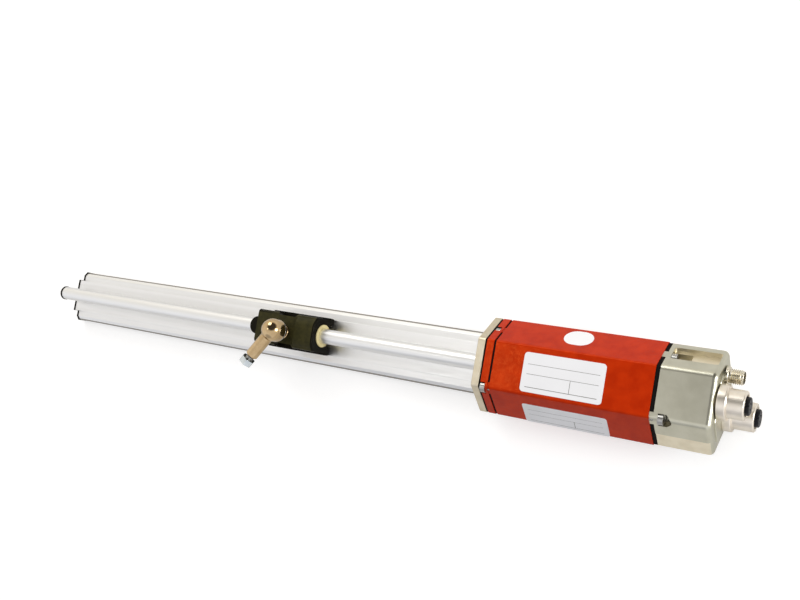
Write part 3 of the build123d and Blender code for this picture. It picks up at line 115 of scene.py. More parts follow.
@dataclass(frozen=True)
class Finish:
    """A surface finish, built once as a procedural material.

    The pattern sizes are real millimetres. A stretch above 1 draws the grain out along X.
    """

    name: str
    colour: str
    second: str
    roughness: float
    metallic: float = 0.0
    coat: float = 0.0
    coat_roughness: float = 0.1
    mottle_mm: float = 6.0
    grain_mm: float = 0.4
    stretch: float = 1.0
    bump_mm: float = 0.01
    bump_strength: float = 0.3
    roughness_spread: float = 0.06
    specular: float = 0.5
    tint: str = WHITE

    def material(self) -> bpy.types.Material:
        """Give the finish's material, making it the first time.

        Returns:
            The material.
        """
        made = bpy.data.materials.get(self.name)
        if made is not None:
            return made
        made = bpy.data.materials.new(self.name)
        made.use_nodes = True
        tree = made.node_tree
        tree.nodes.clear()
        place = add_node(tree, "ShaderNodeTexCoord")
        drawn = add_node(
            tree,
            "ShaderNodeMapping",
            {"Vector": place.outputs["Object"], "Scale": (1 / self.stretch, 1.0, 1.0)},
        )
        mottle = self._noise(tree, drawn.outputs[0], self.mottle_mm)
        grain = self._noise(tree, drawn.outputs[0], self.grain_mm)
        colour = add_node(tree, "ShaderNodeValToRGB", {"Fac": mottle})
        for stop, position, value in zip(
            colour.color_ramp.elements, MOTTLE_STOPS, (self.colour, self.second)
        ):
            stop.position = position
            stop.color = linear(value)
        rough = add_node(
            tree,
            "ShaderNodeMapRange",
            {
                "Value": grain,
                "From Min": MOTTLE_STOPS[0],
                "From Max": MOTTLE_STOPS[1],
                "To Min": self.roughness - self.roughness_spread,
                "To Max": self.roughness + self.roughness_spread,
            },
        )
        bump = add_node(
            tree,
            "ShaderNodeBump",
            {"Height": grain, "Strength": self.bump_strength, "Distance": self.bump_mm * MM},
        )
        shader = add_node(
            tree,
            "ShaderNodeBsdfPrincipled",
            {
                "Base Color": colour.outputs[0],
                "Roughness": rough.outputs[0],
                "Normal": bump.outputs[0],
                "Metallic": self.metallic,
                "Coat Weight": self.coat,
                "Coat Roughness": self.coat_roughness,
                "Coat Tint": linear(self.tint),
                "Specular IOR Level": self.specular,
                "Specular Tint": linear(self.tint),
            },
        )
        add_node(tree, "ShaderNodeOutputMaterial", {"Surface": shader.outputs[0]})
        return made

    @staticmethod
    def _noise(
        tree: bpy.types.NodeTree, place: bpy.types.NodeSocket, size_mm: float
    ) -> bpy.types.NodeSocket:
        """Add noise to a material.

        Args:
            tree: The material's node tree.
            place: The socket that holds the point.
            size_mm: About how far across its spots are.

        Returns:
            The socket that holds the noise.
        """
        noise = add_node(
            tree,
            "ShaderNodeTexNoise",
            {"Vector": place, "Scale": 1 / (size_mm * MM), "Detail": NOISE_DETAIL},
        )
        return noise.outputs[0]


# Extruded aluminium, anodised: faint lines along the rail
RAIL_METAL = Finish(
    "anodised_extrusion", "#F4F4F3", "#ECECEA", roughness=0.38, metallic=1.0,
    grain_mm=0.35, stretch=60.0,
)
# The same extrusion, darker grey at the outer edges of its foot: painted shade
SHADED_EDGE_METAL = Finish(
    "painted_shade_extrusion", "#A29E97", "#958F87", roughness=0.45, metallic=1.0,
    grain_mm=0.35, stretch=60.0,
)
# Milled aluminium under a warm conversion coat: even and slightly yellow
PLATE_METAL = Finish(
    "chromated_plate", "#DDD3BC", "#D4C8AE", roughness=0.4, metallic=1.0, grain_mm=0.3
)
# Die-cast alloy, vibratory ground: soft mottling with no direction
CAST_METAL = Finish(
    "ground_die_casting", "#CFCDBB", "#C5C3B0", roughness=0.34, metallic=1.0,
    mottle_mm=8.0, grain_mm=0.6, bump_mm=0.006, roughness_spread=0.03,
)
# The same casting, brighter and creamier in its screw pockets: painted light
LIT_POCKET_METAL = Finish("painted_light_casting", "#F0E7CF", "#E6DCC2", roughness=0.42, metallic=1.0, grain_mm=0.4)
# Red stove enamel over aluminium: glossy with orange peel, whose reflections stay warm
RED_ENAMEL = Finish(
    "red_enamel", "#B92D08", "#AB2506", roughness=0.16,
    mottle_mm=7.0, grain_mm=2.0, bump_mm=0.08, bump_strength=1.0, specular=0.3, tint="#FF8438",
)
# Nitrile rubber, moulded: dull and nearly black
RUBBER = Finish(
    "nitrile_rubber", "#0E0D0D", "#131211", roughness=0.75, grain_mm=0.3, bump_mm=0.02, specular=0.1
)
# Glass-filled polyamide, moulded with a light spark texture: black that leans to olive
BLACK_PLASTIC = Finish(
    "filled_polyamide", "#0B0A06", "#110F0A", roughness=0.34,
    grain_mm=0.35, bump_mm=0.03, bump_strength=0.4, specular=0.1, tint="#E8E0C0",
)
# The same moulding, a lighter olive on its flat top: painted sheen
SHEEN_PLASTIC = Finish(
    "painted_sheen_polyamide", "#2A2915", "#37341A", roughness=0.5,
    mottle_mm=4.0, grain_mm=0.35, bump_mm=0.03, bump_strength=0.4, specular=0.15, tint="#E8E0C0",
)
# Insert of the connectors: black with a blue cast, smooth
INSERT_PLASTIC = Finish("connector_insert", "#0C0C10", "#111116", roughness=0.42, specular=0.25)
# Unfilled acetal, natural: waxy cream
CREAM_PLASTIC = Finish("natural_acetal", "#E2D49E", "#D6C68E", roughness=0.4, grain_mm=0.5)
# Bright nickel under thin chromium: mirror-like, its tan colour a painted reflection of a warm room
CHROME = Finish(
    "bright_nickel_chrome", "#CFB58C", "#BFA47A", roughness=0.14, metallic=1.0,
    roughness_spread=0.04, bump_strength=0.05,
)
# Zinc plate with a blue passivation: bright and cool
NUT_STEEL = Finish(
    "blue_zinc", "#DCE2E2", "#C9D0D2", roughness=0.18, metallic=1.0, bump_strength=0.1
)
# Nickel plate on turned brass: satin, slightly warm
NICKEL = Finish("satin_nickel", "#F7EFE1", "#EDE4D5", roughness=0.36, metallic=1.0, grain_mm=0.3)
# Zinc-plated steel: cool and a little cloudy
ZINC_STEEL = Finish(
    "zinc_plated_steel", "#B9B8B4", "#A9A8A3", roughness=0.3, metallic=1.0, mottle_mm=2.0
)
# Nickel plate on the plug's fine thread: brighter, with the brass just showing
PLUG_BRASS = Finish(
    "nickelled_brass", "#E9E3D2", "#DCD5C2", roughness=0.24, metallic=1.0, grain_mm=0.3
)
# Enamelled copper wire in a close winding
COPPER = Finish("enamelled_copper", "#B4683C", "#9C5530", roughness=0.3, metallic=1.0, grain_mm=0.2)
# Glass-epoxy board under green solder mask
BOARD = Finish("solder_mask", "#1E5B33", "#1A5130", roughness=0.3, coat=0.4)
# Sintered ferrite: dark grey and grainy
FERRITE = Finish(
    "sintered_ferrite", "#3B3A39", "#2F2E2D", roughness=0.6, grain_mm=0.25, bump_mm=0.03
)
# Printed polyester film: even white with a soft sheen
LABEL_FILM = Finish(
    "polyester_film", "#E9EAED", "#E6E7EA", roughness=0.45,
    mottle_mm=20.0, bump_strength=0.05, specular=0.3,
)
# The same film, silvered
SILVER_FILM = Finish(
    "silvered_film", "#EAEBEE", "#E2E3E6", roughness=0.45,
    mottle_mm=20.0, bump_strength=0.05, specular=0.3,
)
# Printer's ink on the film
INK = Finish("printing_ink", "#74736F", "#6C6B67", roughness=0.45, bump_strength=0.0)


def bake_modifiers(piece: bpy.types.Object) -> None:
    """Turn a piece's modifiers into plain mesh.

    Args:
        piece: The piece, in a view layer that is up to date.
    """
    graph = bpy.context.evaluated_depsgraph_get()
    mesh = bpy.data.meshes.new_from_object(piece.evaluated_get(graph))
    piece.modifiers.clear()
    piece.data = mesh


def new_piece(name: str, bm: bmesh.types.BMesh) -> bpy.types.Object:
    """Make an object at the origin from a finished bmesh.

    Args:
        name: The name of the object and its mesh.
        bm: The bmesh, which is freed.

    Returns:
        The new object.
    """
    mesh = bpy.data.meshes.new(name)
    bm.to_mesh(mesh)
    bm.free()
    piece = bpy.data.objects.new(name, mesh)
    bpy.context.scene.collection.objects.link(piece)
    return piece


def soften(piece: bpy.types.Object, width_mm: float, sharp_deg: float = SHARP_DEG) -> None:
    """Round a piece's sharp edges, and shade it smooth with its large faces flat.

    Args:
        piece: The piece whose mesh is changed.
        width_mm: Width of the rounding, 0 for none.
        sharp_deg: Angle from which an edge counts as sharp.
    """
    if width_mm > 0:
        bevel = piece.modifiers.new("round", "BEVEL")
        bevel.width = width_mm * MM
        bevel.segments = ROUND_SEGMENTS
        bevel.limit_method = "ANGLE"
        bevel.angle_limit = radians(sharp_deg)
        bevel.use_clamp_overlap = True
        bpy.context.view_layer.update()
        bake_modifiers(piece)
    piece.data.shade_smooth()
    piece.data.set_sharp_from_angle(angle=radians(sharp_deg))
    flatten = piece.modifiers.new("flat_faces", "WEIGHTED_NORMAL")
    flatten.keep_sharp = True
    bpy.context.view_layer.update()
    bake_modifiers(piece)


def dress(
    piece: bpy.types.Object,
    body: Body,
    finishes: Sequence[Finish],
    stands_for: Sequence[str] = (),
) -> bpy.types.Object:
    """Give a piece its finish and its body, hide the CAD nodes it replaces and log its faces.

    Args:
        piece: The finished piece.
        body: The body that it moves with.
        finishes: Its finishes, in the order of the mesh's material numbers.
        stands_for: The CAD nodes that it takes the place of.

    Returns:
        The same piece.
    """
    for finish in finishes:
        piece.data.materials.append(finish.material())
    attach(piece, body.value)
    if stands_for:
        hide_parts(*stands_for)
    log.info("%s: %d faces", piece.name, len(piece.data.polygons))
    return piece


@dataclass(frozen=True)
class WideEdges:
    """Edges of a node that get a wider rounding: those inside some boxes, in millimetres."""

    boxes: tuple[tuple[Point3, Point3], ...]
    width: float
    segments: int = 4

    def round_off(self, bm: bmesh.types.BMesh) -> None:
        """Round those edges of a mesh, on both sides of the rail.

        Args:
            bm: The mesh that is changed.
        """
        chosen = [edge for edge in bm.edges if all(self._holds(vert.co) for vert in edge.verts)]
        sharp = [edge for edge in chosen if edge.calc_face_angle(0.0) > radians(WIDE_DEG)]
        bmesh.ops.bevel(
            bm, geom=sharp, offset=self.width * MM, offset_type="OFFSET",
            segments=self.segments, profile=0.5, affect="EDGES", clamp_overlap=True,
        )

    def _holds(self, spot: Vector) -> bool:
        """Say whether a point, or its mirror image across the rail, is in a box."""
        place = (spot.x / MM, abs(spot.y) / MM, spot.z / MM)
        return any(
            all(a <= b <= c for a, b, c in zip(low, place, high)) for low, high in self.boxes
        )


def refined(node: str, width_mm: float, wide: WideEdges | None = None) -> bpy.types.Object:
    """Copy a CAD node, join its loose triangles and round its edges.

    Args:
        node: The CAD node.
        width_mm: Width of the rounding.
        wide: Edges that get a wider rounding first.

    Returns:
        The copy, named after the node.
    """
    bm = bmesh.new()
    bm.from_mesh(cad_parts[node].data)
    bmesh.ops.remove_doubles(bm, verts=bm.verts, dist=JOIN_DISTANCE)
    bmesh.ops.dissolve_limit(bm, angle_limit=radians(FLAT_DEG), verts=bm.verts, edges=bm.edges)
    if wide is not None:
        wide.round_off(bm)
    piece = new_piece(node + "_fine", bm)
    soften(piece, width_mm)
    return piece


def lathe(profile: Sequence[Point], steps: int = 64) -> bmesh.types.BMesh:
    """Turn an outline round Z.

    Args:
        profile: Radius and height of each corner, in millimetres, anticlockwise. An outline
            whose first and last corners have no radius is solid, any other is a ring, and
            an empty one gives an empty mesh.
        steps: Faces round the axis.

    Returns:
        The closed mesh, in metres.
    """
    bm = bmesh.new()
    if not profile:
        return bm
    rings: list[list[bmesh.types.BMVert]] = []
    for radius, height in profile:
        count = steps if radius > 0 else 1
        rings.append(
            [
                bm.verts.new(
                    (
                        radius * MM * cos(2 * pi * step / steps),
                        radius * MM * sin(2 * pi * step / steps),
                        height * MM,
                    )
                )
                for step in range(count)
            ]
        )
    solid = profile[0][0] == 0 and profile[-1][0] == 0
    pairs = list(zip(rings, rings[1:])) if solid else list(zip(rings, rings[1:] + rings[:1]))
    for low, high in pairs:
        for step in range(steps):
            after = (step + 1) % steps
            corners = [low[step % len(low)], low[after % len(low)]]
            corners += [high[after % len(high)], high[step % len(high)]]
            bm.faces.new(list(dict.fromkeys(corners)))
    return bm


@dataclass(frozen=True)
class Thread:
    """A screw thread: a helical ridge that Geometry Nodes winds round Z.

    Sizes are millimetres. The ridge stands outwards, or inwards where it is a nut's.
    """

    crest: float
    pitch: float
    start: float
    length: float
    inside: bool = False
    depth_share: float = 0.5
    steps_per_turn: int = 48

    @property
    def depth(self) -> float:
        """Height of the ridge's triangle from its centre to its crest."""
        return self.depth_share * self.pitch

    def cut(self, piece: bpy.types.Object) -> None:
        """Add the ridge to a piece that stands on its own Z axis.

        Args:
            piece: The piece, still in its own axes.
        """
        tree = self._tree()
        adder = piece.modifiers.new("thread", "NODES")
        adder.node_group = tree
        # The winding points the triangle at the axis, so a ridge outwards has a negative size
        size = self.depth if self.inside else -self.depth
        values = {
            "Radius": (self.crest + size) * MM,
            "Turns": self.length / self.pitch,
            "Height": self.length * MM,
            "Start": self.start * MM,
            "Depth": size * MM,
            "Steps": self.steps_per_turn,
        }
        for socket in tree.interface.items_tree:
            if socket.in_out == "INPUT" and socket.name in values:
                adder[socket.identifier] = values[socket.name]
        bpy.context.view_layer.update()
        bake_modifiers(piece)

    @staticmethod
    def _tree() -> bpy.types.NodeTree:
        """Give the Geometry Nodes group of a helical ridge, making it the first time.

        Returns:
            The group, which joins the ridge to a piece.
        """
        made = bpy.data.node_groups.get("thread_ridge")
        if made is not None:
            return made
        tree = bpy.data.node_groups.new("thread_ridge", "GeometryNodeTree")
        tree.interface.new_socket("Geometry", in_out="INPUT", socket_type="NodeSocketGeometry")
        for name in ("Radius", "Turns", "Height", "Start", "Depth"):
            tree.interface.new_socket(name, in_out="INPUT", socket_type="NodeSocketFloat")
        tree.interface.new_socket("Steps", in_out="INPUT", socket_type="NodeSocketInt")
        tree.interface.new_socket("Geometry", in_out="OUTPUT", socket_type="NodeSocketGeometry")
        given = add_node(tree, "NodeGroupInput").outputs
        helix = add_node(
            tree,
            "GeometryNodeCurveSpiral",
            {
                "Resolution": given["Steps"],
                "Rotations": given["Turns"],
                "Start Radius": given["Radius"],
                "End Radius": given["Radius"],
                "Height": given["Height"],
            },
        )
        upright = add_node(
            tree, "GeometryNodeSetCurveNormal", {"Curve": helix.outputs[0]}, mode="Z_UP"
        )
        triangle = {"Resolution": 3, "Radius": 1.0}
        ridge = add_node(tree, "GeometryNodeCurvePrimitiveCircle", triangle, mode="RADIUS")
        size = add_node(
            tree,
            "ShaderNodeCombineXYZ",
            {"X": given["Depth"], "Y": given["Depth"], "Z": given["Depth"]},
        )
        sized = add_node(
            tree, "GeometryNodeTransform", {"Geometry": ridge.outputs[0], "Scale": size.outputs[0]}
        )
        wound = add_node(
            tree,
            "GeometryNodeCurveToMesh",
            {"Curve": upright.outputs[0], "Profile Curve": sized.outputs[0], "Fill Caps": True},
        )
        raised = add_node(tree, "ShaderNodeCombineXYZ", {"Z": given["Start"]})
        placed = add_node(
            tree,
            "GeometryNodeTransform",
            {"Geometry": wound.outputs[0], "Translation": raised.outputs[0]},
        )
        joined = add_node(tree, "GeometryNodeJoinGeometry", {"Geometry": placed.outputs[0]})
        tree.links.new(given["Geometry"], joined.inputs[0])
        plain = add_node(tree, "GeometryNodeRealizeInstances", {"Geometry": joined.outputs[0]})
        add_node(tree, "NodeGroupOutput", {"Geometry": plain.outputs[0]})
        return tree


def facing(place: Point3, direction: Point3) -> Matrix:
    """Place an upright piece so that its Z axis points in a direction.

    Args:
        place: Where its origin goes, in millimetres.
        direction: Where its Z axis points.

    Returns:
        The matrix from the piece's own axes to the frame.
    """
    turn = Vector(direction).to_track_quat("Z", "Y").to_matrix().to_4x4()
    return Matrix.Translation(Vector(place) * MM) @ turn


def threaded_piece(
    name: str, profile: Sequence[Point], thread: Thread, place: Matrix
) -> bpy.types.Object:
    """Turn a piece, add its thread and put it in its place.

    Args:
        name: The piece's name.
        profile: Its outline for the lathe, or nothing for the thread alone.
        thread: Its thread.
        place: The matrix from the piece's own axes to the frame.

    Returns:
        The piece.
    """
    piece = new_piece(name, lathe(profile))
    thread.cut(piece)
    # Joining meshes without a material leaves an empty slot
    piece.data.materials.clear()
    piece.data.transform(place)
    soften(piece, 0.0, THREAD_DEG)
    return piece


@dataclass(frozen=True)
class HeadSection:
    """The head's six-sided section in the YZ plane, in metres."""

    half_top: float = 13.2 * MM
    half_width: float = 27.3 * MM
    half_height: float = 18.1 * MM
    centre_z: float = 18.6 * MM

    @property
    def run(self) -> float:
        """How far an upper sloping face runs out from the top."""
        return self.half_width - self.half_top

    @property
    def slope(self) -> float:
        """Length of an upper sloping face."""
        return hypot(self.run, self.half_height)

    def sloped_place(self, x: float, share: float, side: int, lift: float) -> Matrix:
        """Place on an upper sloping face, X along the rail and Y up the slope.

        Args:
            x: Place along the rail.
            share: How far down the face, from 0 at its top edge to 1.
            side: 1 for the face on +Y, -1 for the one on -Y.
            lift: Height above the face.

        Returns:
            The matrix from the face's own axes to the frame.
        """
        run, height, slope = self.run, self.half_height, self.slope
        down = Vector((0, side * run / slope, -height / slope))
        normal = Vector((0, side * height / slope, run / slope))
        top = Vector((x, side * self.half_top, self.centre_z + height))
        spot = top + down * (share * slope) + normal * lift
        up = -down
        along = up.cross(normal)
        return Matrix.Translation(spot) @ Matrix((along, up, normal)).transposed().to_4x4()

    def depth(self, spot: Vector) -> float:
        """Measure how deep a point lies behind the upper sloping face on its own side.

        Args:
            spot: The point, in metres.

        Returns:
            The depth, below 0 in front of the face.
        """
        across = (abs(spot.y) - self.half_top) * self.half_height / self.slope
        above = (spot.z - self.centre_z - self.half_height) * self.run / self.slope
        return -(across + above)

    def top_place(self, x: float, y: float, lift: float) -> Matrix:
        """Place on the flat top, X along the rail and Y across it.

        Args:
            x: Place along the rail.
            y: Place across the rail.
            lift: Height above the face.

        Returns:
            The matrix from the face's own axes to the frame.
        """
        return Matrix.Translation((x, y, self.centre_z + self.half_height + lift))


def rounded_outline(width: float, height: float, radius: float, steps: int = 6) -> list[Point]:
    """Outline of a rectangle with round corners, centred, anticlockwise.

    Args:
        width: Size along X.
        height: Size along Y.
        radius: Corner radius.
        steps: Edges in each corner.

    Returns:
        The outline's points.
    """
    points: list[Point] = []
    for quarter, (sx, sy) in enumerate(((1, 1), (-1, 1), (-1, -1), (1, -1))):
        cx, cy = sx * (width / 2 - radius), sy * (height / 2 - radius)
        for step in range(steps + 1):
            angle = (quarter + step / steps) * pi / 2
            points.append((cx + radius * cos(angle), cy + radius * sin(angle)))
    return points


@dataclass
class Label:
    """A thin film label with faint empty rules, lying on a face of the head."""

    name: str
    place: Matrix
    width: float
    height: float
    radius: float
    film: Finish
    rules: tuple[Rule, ...] = ()
    thickness: float = 0.12 * MM
    ink_lift: float = 0.015 * MM

    def build(self) -> bpy.types.Object:
        """Build the film and its printed rules, and fix it to the housing.

        Returns:
            The label.
        """
        bm = bmesh.new()
        outline = rounded_outline(self.width, self.height, self.radius)
        inner = rounded_outline(
            self.width - self.thickness, self.height - self.thickness, self.radius
        )
        low = [bm.verts.new((x, y, 0)) for x, y in outline]
        high = [bm.verts.new((x, y, self.thickness)) for x, y in inner]
        count = len(low)
        for i in range(count):
            j = (i + 1) % count
            bm.faces.new((low[i], low[j], high[j], high[i]))
        bm.faces.new(high)
        for left, bottom, right, top in self.rules:
            corners = ((left, bottom), (right, bottom), (right, top), (left, top))
            verts = [
                bm.verts.new(
                    (
                        (u - 0.5) * self.width,
                        (v - 0.5) * self.height,
                        self.thickness + self.ink_lift,
                    )
                )
                for u, v in corners
            ]
            bm.faces.new(verts).material_index = 1
        bm.transform(self.place)
        piece = new_piece(self.name, bm)
        piece.data.shade_smooth()
        piece.data.set_sharp_from_angle(angle=radians(FILM_DEG))
        return dress(piece, Body.HOUSING, (self.film, INK))


@dataclass(frozen=True)
class Copy:
    """A CAD node whose copy gets edges rounded to a width in millimetres, and its own finish."""

    node: str
    width: float
    finish: Finish
    slot: str
    body: Body = Body.HOUSING

    def build(self) -> bpy.types.Object:
        """Round the copy, dress it and let it take the node's place.

        Returns:
            The copy.
        """
        piece = refined(self.node, self.width)
        return dress(piece, self.body, (self.finish,), (self.node,))


@dataclass
class HeadGroup:
    """Plate, ring, sleeve, cap, gaskets, screws and labels of the head.

    The pockets' places are millimetres. A rule is left, bottom, right and top as shares of
    its label.
    """

    section: HeadSection = HeadSection()
    cap_edge: float = 0.35
    pocket_depth: Point = (0.5, 9.0)
    pocket_end: float = 127.5
    label_lift: float = 0.02 * MM
    rules: tuple[Rule, ...] = (
        (0.06, 0.12, 0.94, 0.135),
        (0.06, 0.45, 0.94, 0.46),
        (0.06, 0.70, 0.94, 0.71),
        (0.60, 0.12, 0.606, 0.45),
    )
    shells: tuple[Copy, ...] = (
        Copy("flange_plate", 0.35, PLATE_METAL, "plate_metal"),
        Copy("front_gasket", 0.1, RUBBER, "gasket_rubber"),
        Copy("front_ring", 0.35, RED_ENAMEL, "red_paint"),
        Copy("middle_gasket", 0.1, RUBBER, "gasket_rubber"),
        Copy("housing_sleeve", 0.35, RED_ENAMEL, "red_paint"),
        Copy("rear_gasket", 0.1, RUBBER, "gasket_rubber"),
        Copy("front_screws", 0.2, ZINC_STEEL, "screw_steel"),
        Copy("rear_screws", 0.2, ZINC_STEEL, "screw_steel"),
    )

    def build(self) -> None:
        """Build every piece of the head."""
        for shell in self.shells:
            shell.build()
        self._cap()
        self._labels()

    def _cap(self) -> None:
        """Round the cap's casting and paint its screw pockets a brighter cream as painted light."""
        piece = refined("connector_cap", self.cap_edge)
        low, high = self.pocket_depth
        for face in piece.data.polygons:
            sloping = face.normal.z > 0 and abs(face.center.y) > self.section.half_top
            sunk = low * MM < self.section.depth(face.center) < high * MM
            before = face.center.x < self.pocket_end * MM
            # Pocket faces get the brighter cream: painted light in the recess
            face.material_index = int(sloping and sunk and before)
        dress(piece, Body.HOUSING, (CAST_METAL, LIT_POCKET_METAL), ("connector_cap",))

    def _labels(self) -> None:
        """Lay the three labels on the sleeve."""
        section, lift = self.section, self.label_lift
        Label(
            "top_label", section.top_place(x=51.7 * MM, y=-0.85 * MM, lift=lift),
            width=45.6 * MM, height=21.3 * MM, radius=2.0 * MM, film=LABEL_FILM, rules=self.rules,
        ).build()
        Label(
            "side_label", section.sloped_place(x=52.7 * MM, share=0.655, side=-1, lift=lift),
            width=47.5 * MM, height=14.9 * MM, radius=1.5 * MM, film=SILVER_FILM, rules=self.rules,
        ).build()
        Label(
            "oval_label", section.sloped_place(x=53.5 * MM, share=0.58, side=1, lift=lift),
            width=16.2 * MM, height=13.1 * MM, radius=6.5 * MM, film=LABEL_FILM,
        ).build()


@dataclass
class RailGroup:
    """The extruded rail with its end cap, in millimetres."""

    edge: float = 0.2
    foot_edge: float = 17.3
    foot_top: float = 8.3
    foot_slope: float = 0.3
    foot_corner: WideEdges = WideEdges(
        boxes=(((-350.1, 18.1, 5.9), (0.1, 18.3, 6.1)),), width=1.2
    )
    pieces: tuple[Copy, ...] = (
        Copy("rail_end_cap", 0.2, BLACK_PLASTIC, "black_plastic"),
        Copy("end_cap_screws", 0.1, ZINC_STEEL, "screw_steel"),
    )

    def build(self) -> None:
        """Build every piece of the rail."""
        self._extrusion()
        for piece in self.pieces:
            piece.build()

    def _extrusion(self) -> None:
        """Round the extrusion and paint the outer edges of its foot darker grey as painted shade.
        """
        piece = refined("rail_extrusion", self.edge, self.foot_corner)
        for face in piece.data.polygons:
            outside = face.center.y * face.normal.y > 0 and abs(face.normal.y) > self.foot_slope
            far = abs(face.center.y) > self.foot_edge * MM and face.center.z < self.foot_top * MM
            # The foot's outer edges get the darker grey finish: painted shade
            face.material_index = int(outside and far)
        dress(piece, Body.HOUSING, (RAIL_METAL, SHADED_EDGE_METAL), ("rail_extrusion",))


@dataclass(frozen=True)
class Socket:
    """One M12 socket of the cap: the inside thread of its shell, in millimetres."""

    name: str
    across: float
    height: float
    length: float
    crest: float = 5.15
    pitch: float = 1.0
    thread_start: float = 5.0
    thread_end_gap: float = 0.7

    def build(self, face_x: float) -> None:
        """Wind the thread inside the shell.

        Args:
            face_x: Where the shell stands on the cap.
        """
        run = self.length - self.thread_start - self.thread_end_gap
        thread = Thread(self.crest, self.pitch, self.thread_start, run, inside=True)
        place = facing((face_x, self.across, self.height), (1, 0, 0))
        piece = threaded_piece(self.name + "_thread", (), thread, place)
        dress(piece, Body.HOUSING, (NICKEL,))


@dataclass
class ConnectorGroup:
    """Two sockets and the plug in the end of the cap, in millimetres."""

    face_x: float = 130.2
    plug_across: float = 14.0
    plug_height: float = 20.6
    plug_length: float = 8.5
    collar_radius: float = 5.0
    collar_length: float = 1.4
    core_radius: float = 3.4
    crest_radius: float = 3.95
    bore_radius: float = 3.1
    bore_floor: float = 1.9
    edge: float = 0.25
    bore_edge: float = 0.1
    pitch: float = 1.0
    thread_gap: float = 0.7
    sockets: tuple[Socket, ...] = (
        Socket("upper_socket", across=0.6, height=27.9, length=12.7),
        Socket("lower_socket", across=-4.2, height=9.9, length=14.9),
    )
    pieces: tuple[Copy, ...] = (
        Copy("upper_socket_shell", 0.25, NICKEL, "nickel_shell"),
        Copy("lower_socket_shell", 0.25, NICKEL, "nickel_shell"),
        Copy("upper_socket_insert", 0.2, INSERT_PLASTIC, "black_plastic"),
        Copy("lower_socket_insert", 0.2, INSERT_PLASTIC, "black_plastic"),
        Copy("plug_insert", 0.1, INSERT_PLASTIC, "black_plastic"),
        Copy("plug_pins", 0.1, PLUG_BRASS, "plug_brass"),
    )

    def build(self) -> None:
        """Build every piece of the connectors."""
        for piece in self.pieces:
            piece.build()
        for socket in self.sockets:
            socket.build(self.face_x)
        self._plug()

    def _plug(self) -> None:
        """Turn the plug's shell with its outside thread."""
        profile = (
            (0, 0),
            (self.collar_radius, 0),
            (self.collar_radius, self.collar_length - self.edge),
            (self.collar_radius - self.edge, self.collar_length),
            (self.core_radius, self.collar_length),
            (self.core_radius, self.plug_length - self.edge),
            (self.core_radius - self.edge, self.plug_length),
            (self.bore_radius + self.bore_edge, self.plug_length),
            (self.bore_radius, self.plug_length - self.bore_edge),
            (self.bore_radius, self.bore_floor),
            (0, self.bore_floor),
        )
        start = self.collar_length + self.thread_gap
        run = self.plug_length - start - self.thread_gap
        thread = Thread(self.crest_radius, self.pitch, start, run)
        place = facing((self.face_x, self.plug_across, self.plug_height), (1, 0, 0))
        piece = threaded_piece("plug_shell_fine", profile, thread, place)
        dress(piece, Body.HOUSING, (PLUG_BRASS,), ("plug_shell",))


@dataclass
class SliderGroup:
    """The moulded slider with its liners, magnet and ball joint, in millimetres."""

    edge: float = 0.9
    ball: Point3 = (-136.3, -1.6, 43.1)
    heading_deg: float = 234.0
    pin_start: float = 10.0
    pin_end: float = 28.6
    pin_radius: float = 2.5
    pin_core: float = 2.1
    pin_tip: float = 0.4
    pin_pitch: float = 0.8
    thread_start: float = 22.2
    near_end: WideEdges = WideEdges(
        boxes=(
            ((-112.9, 7.5, 16.3), (-112.7, 10.8, 40.0)),
            ((-112.9, 0.0, 31.0), (-112.7, 8.0, 40.0)),
        ),
        width=1.8,
    )
    sheen_span: Point = (-150.0, -114.7)
    sheen_height: float = 26.0
    sheen_slope: float = 0.3
    pieces: tuple[Copy, ...] = (
        Copy("rear_glide_liner", 0.15, CREAM_PLASTIC, "cream_plastic", Body.SLIDER),
        Copy("front_glide_liner", 0.15, CREAM_PLASTIC, "cream_plastic", Body.SLIDER),
        Copy("ball_stud", 0.15, CHROME, "joint_chrome", Body.SLIDER),
        Copy("ball_socket", 0.25, CHROME, "joint_chrome", Body.SOCKET),
        Copy("retaining_clip", 0.1, ZINC_STEEL, "screw_steel", Body.SOCKET),
        Copy("lock_nut", 0.08, NUT_STEEL, "screw_steel", Body.SOCKET),
    )

    def build(self) -> None:
        """Build every piece that the slider carries."""
        self._moulding()
        for piece in self.pieces:
            piece.build()
        self._pin()

    def _moulding(self) -> None:
        """Round the slider's moulding and paint its flat top a lighter olive as painted sheen."""
        piece = refined("slider_body", self.edge, self.near_end)
        low, high = self.sheen_span
        for face in piece.data.polygons:
            upwards = face.normal.z > self.sheen_slope and face.center.z > self.sheen_height * MM
            within = low * MM < face.center.x < high * MM
            # Upward faces of the flat top get the lighter olive: painted sheen
            face.material_index = int(upwards and within)
        dress(
            piece, Body.SLIDER, (BLACK_PLASTIC, SHEEN_PLASTIC), ("slider_body",)
        )

    def _pin(self) -> None:
        """Turn the joint's threaded pin."""
        profile = (
            (0, self.pin_start),
            (self.pin_core, self.pin_start),
            (self.pin_core, self.pin_end - self.pin_tip),
            (self.pin_core - self.pin_tip, self.pin_end),
            (0, self.pin_end),
        )
        run = self.pin_end - self.pin_tip - self.thread_start
        thread = Thread(self.pin_radius, self.pin_pitch, self.thread_start, run)
        heading = radians(self.heading_deg)
        place = facing(self.ball, (cos(heading), sin(heading), 0))
        piece = threaded_piece("threaded_pin_fine", profile, thread, place)
        dress(piece, Body.SOCKET, (ZINC_STEEL,), ("threaded_pin",))


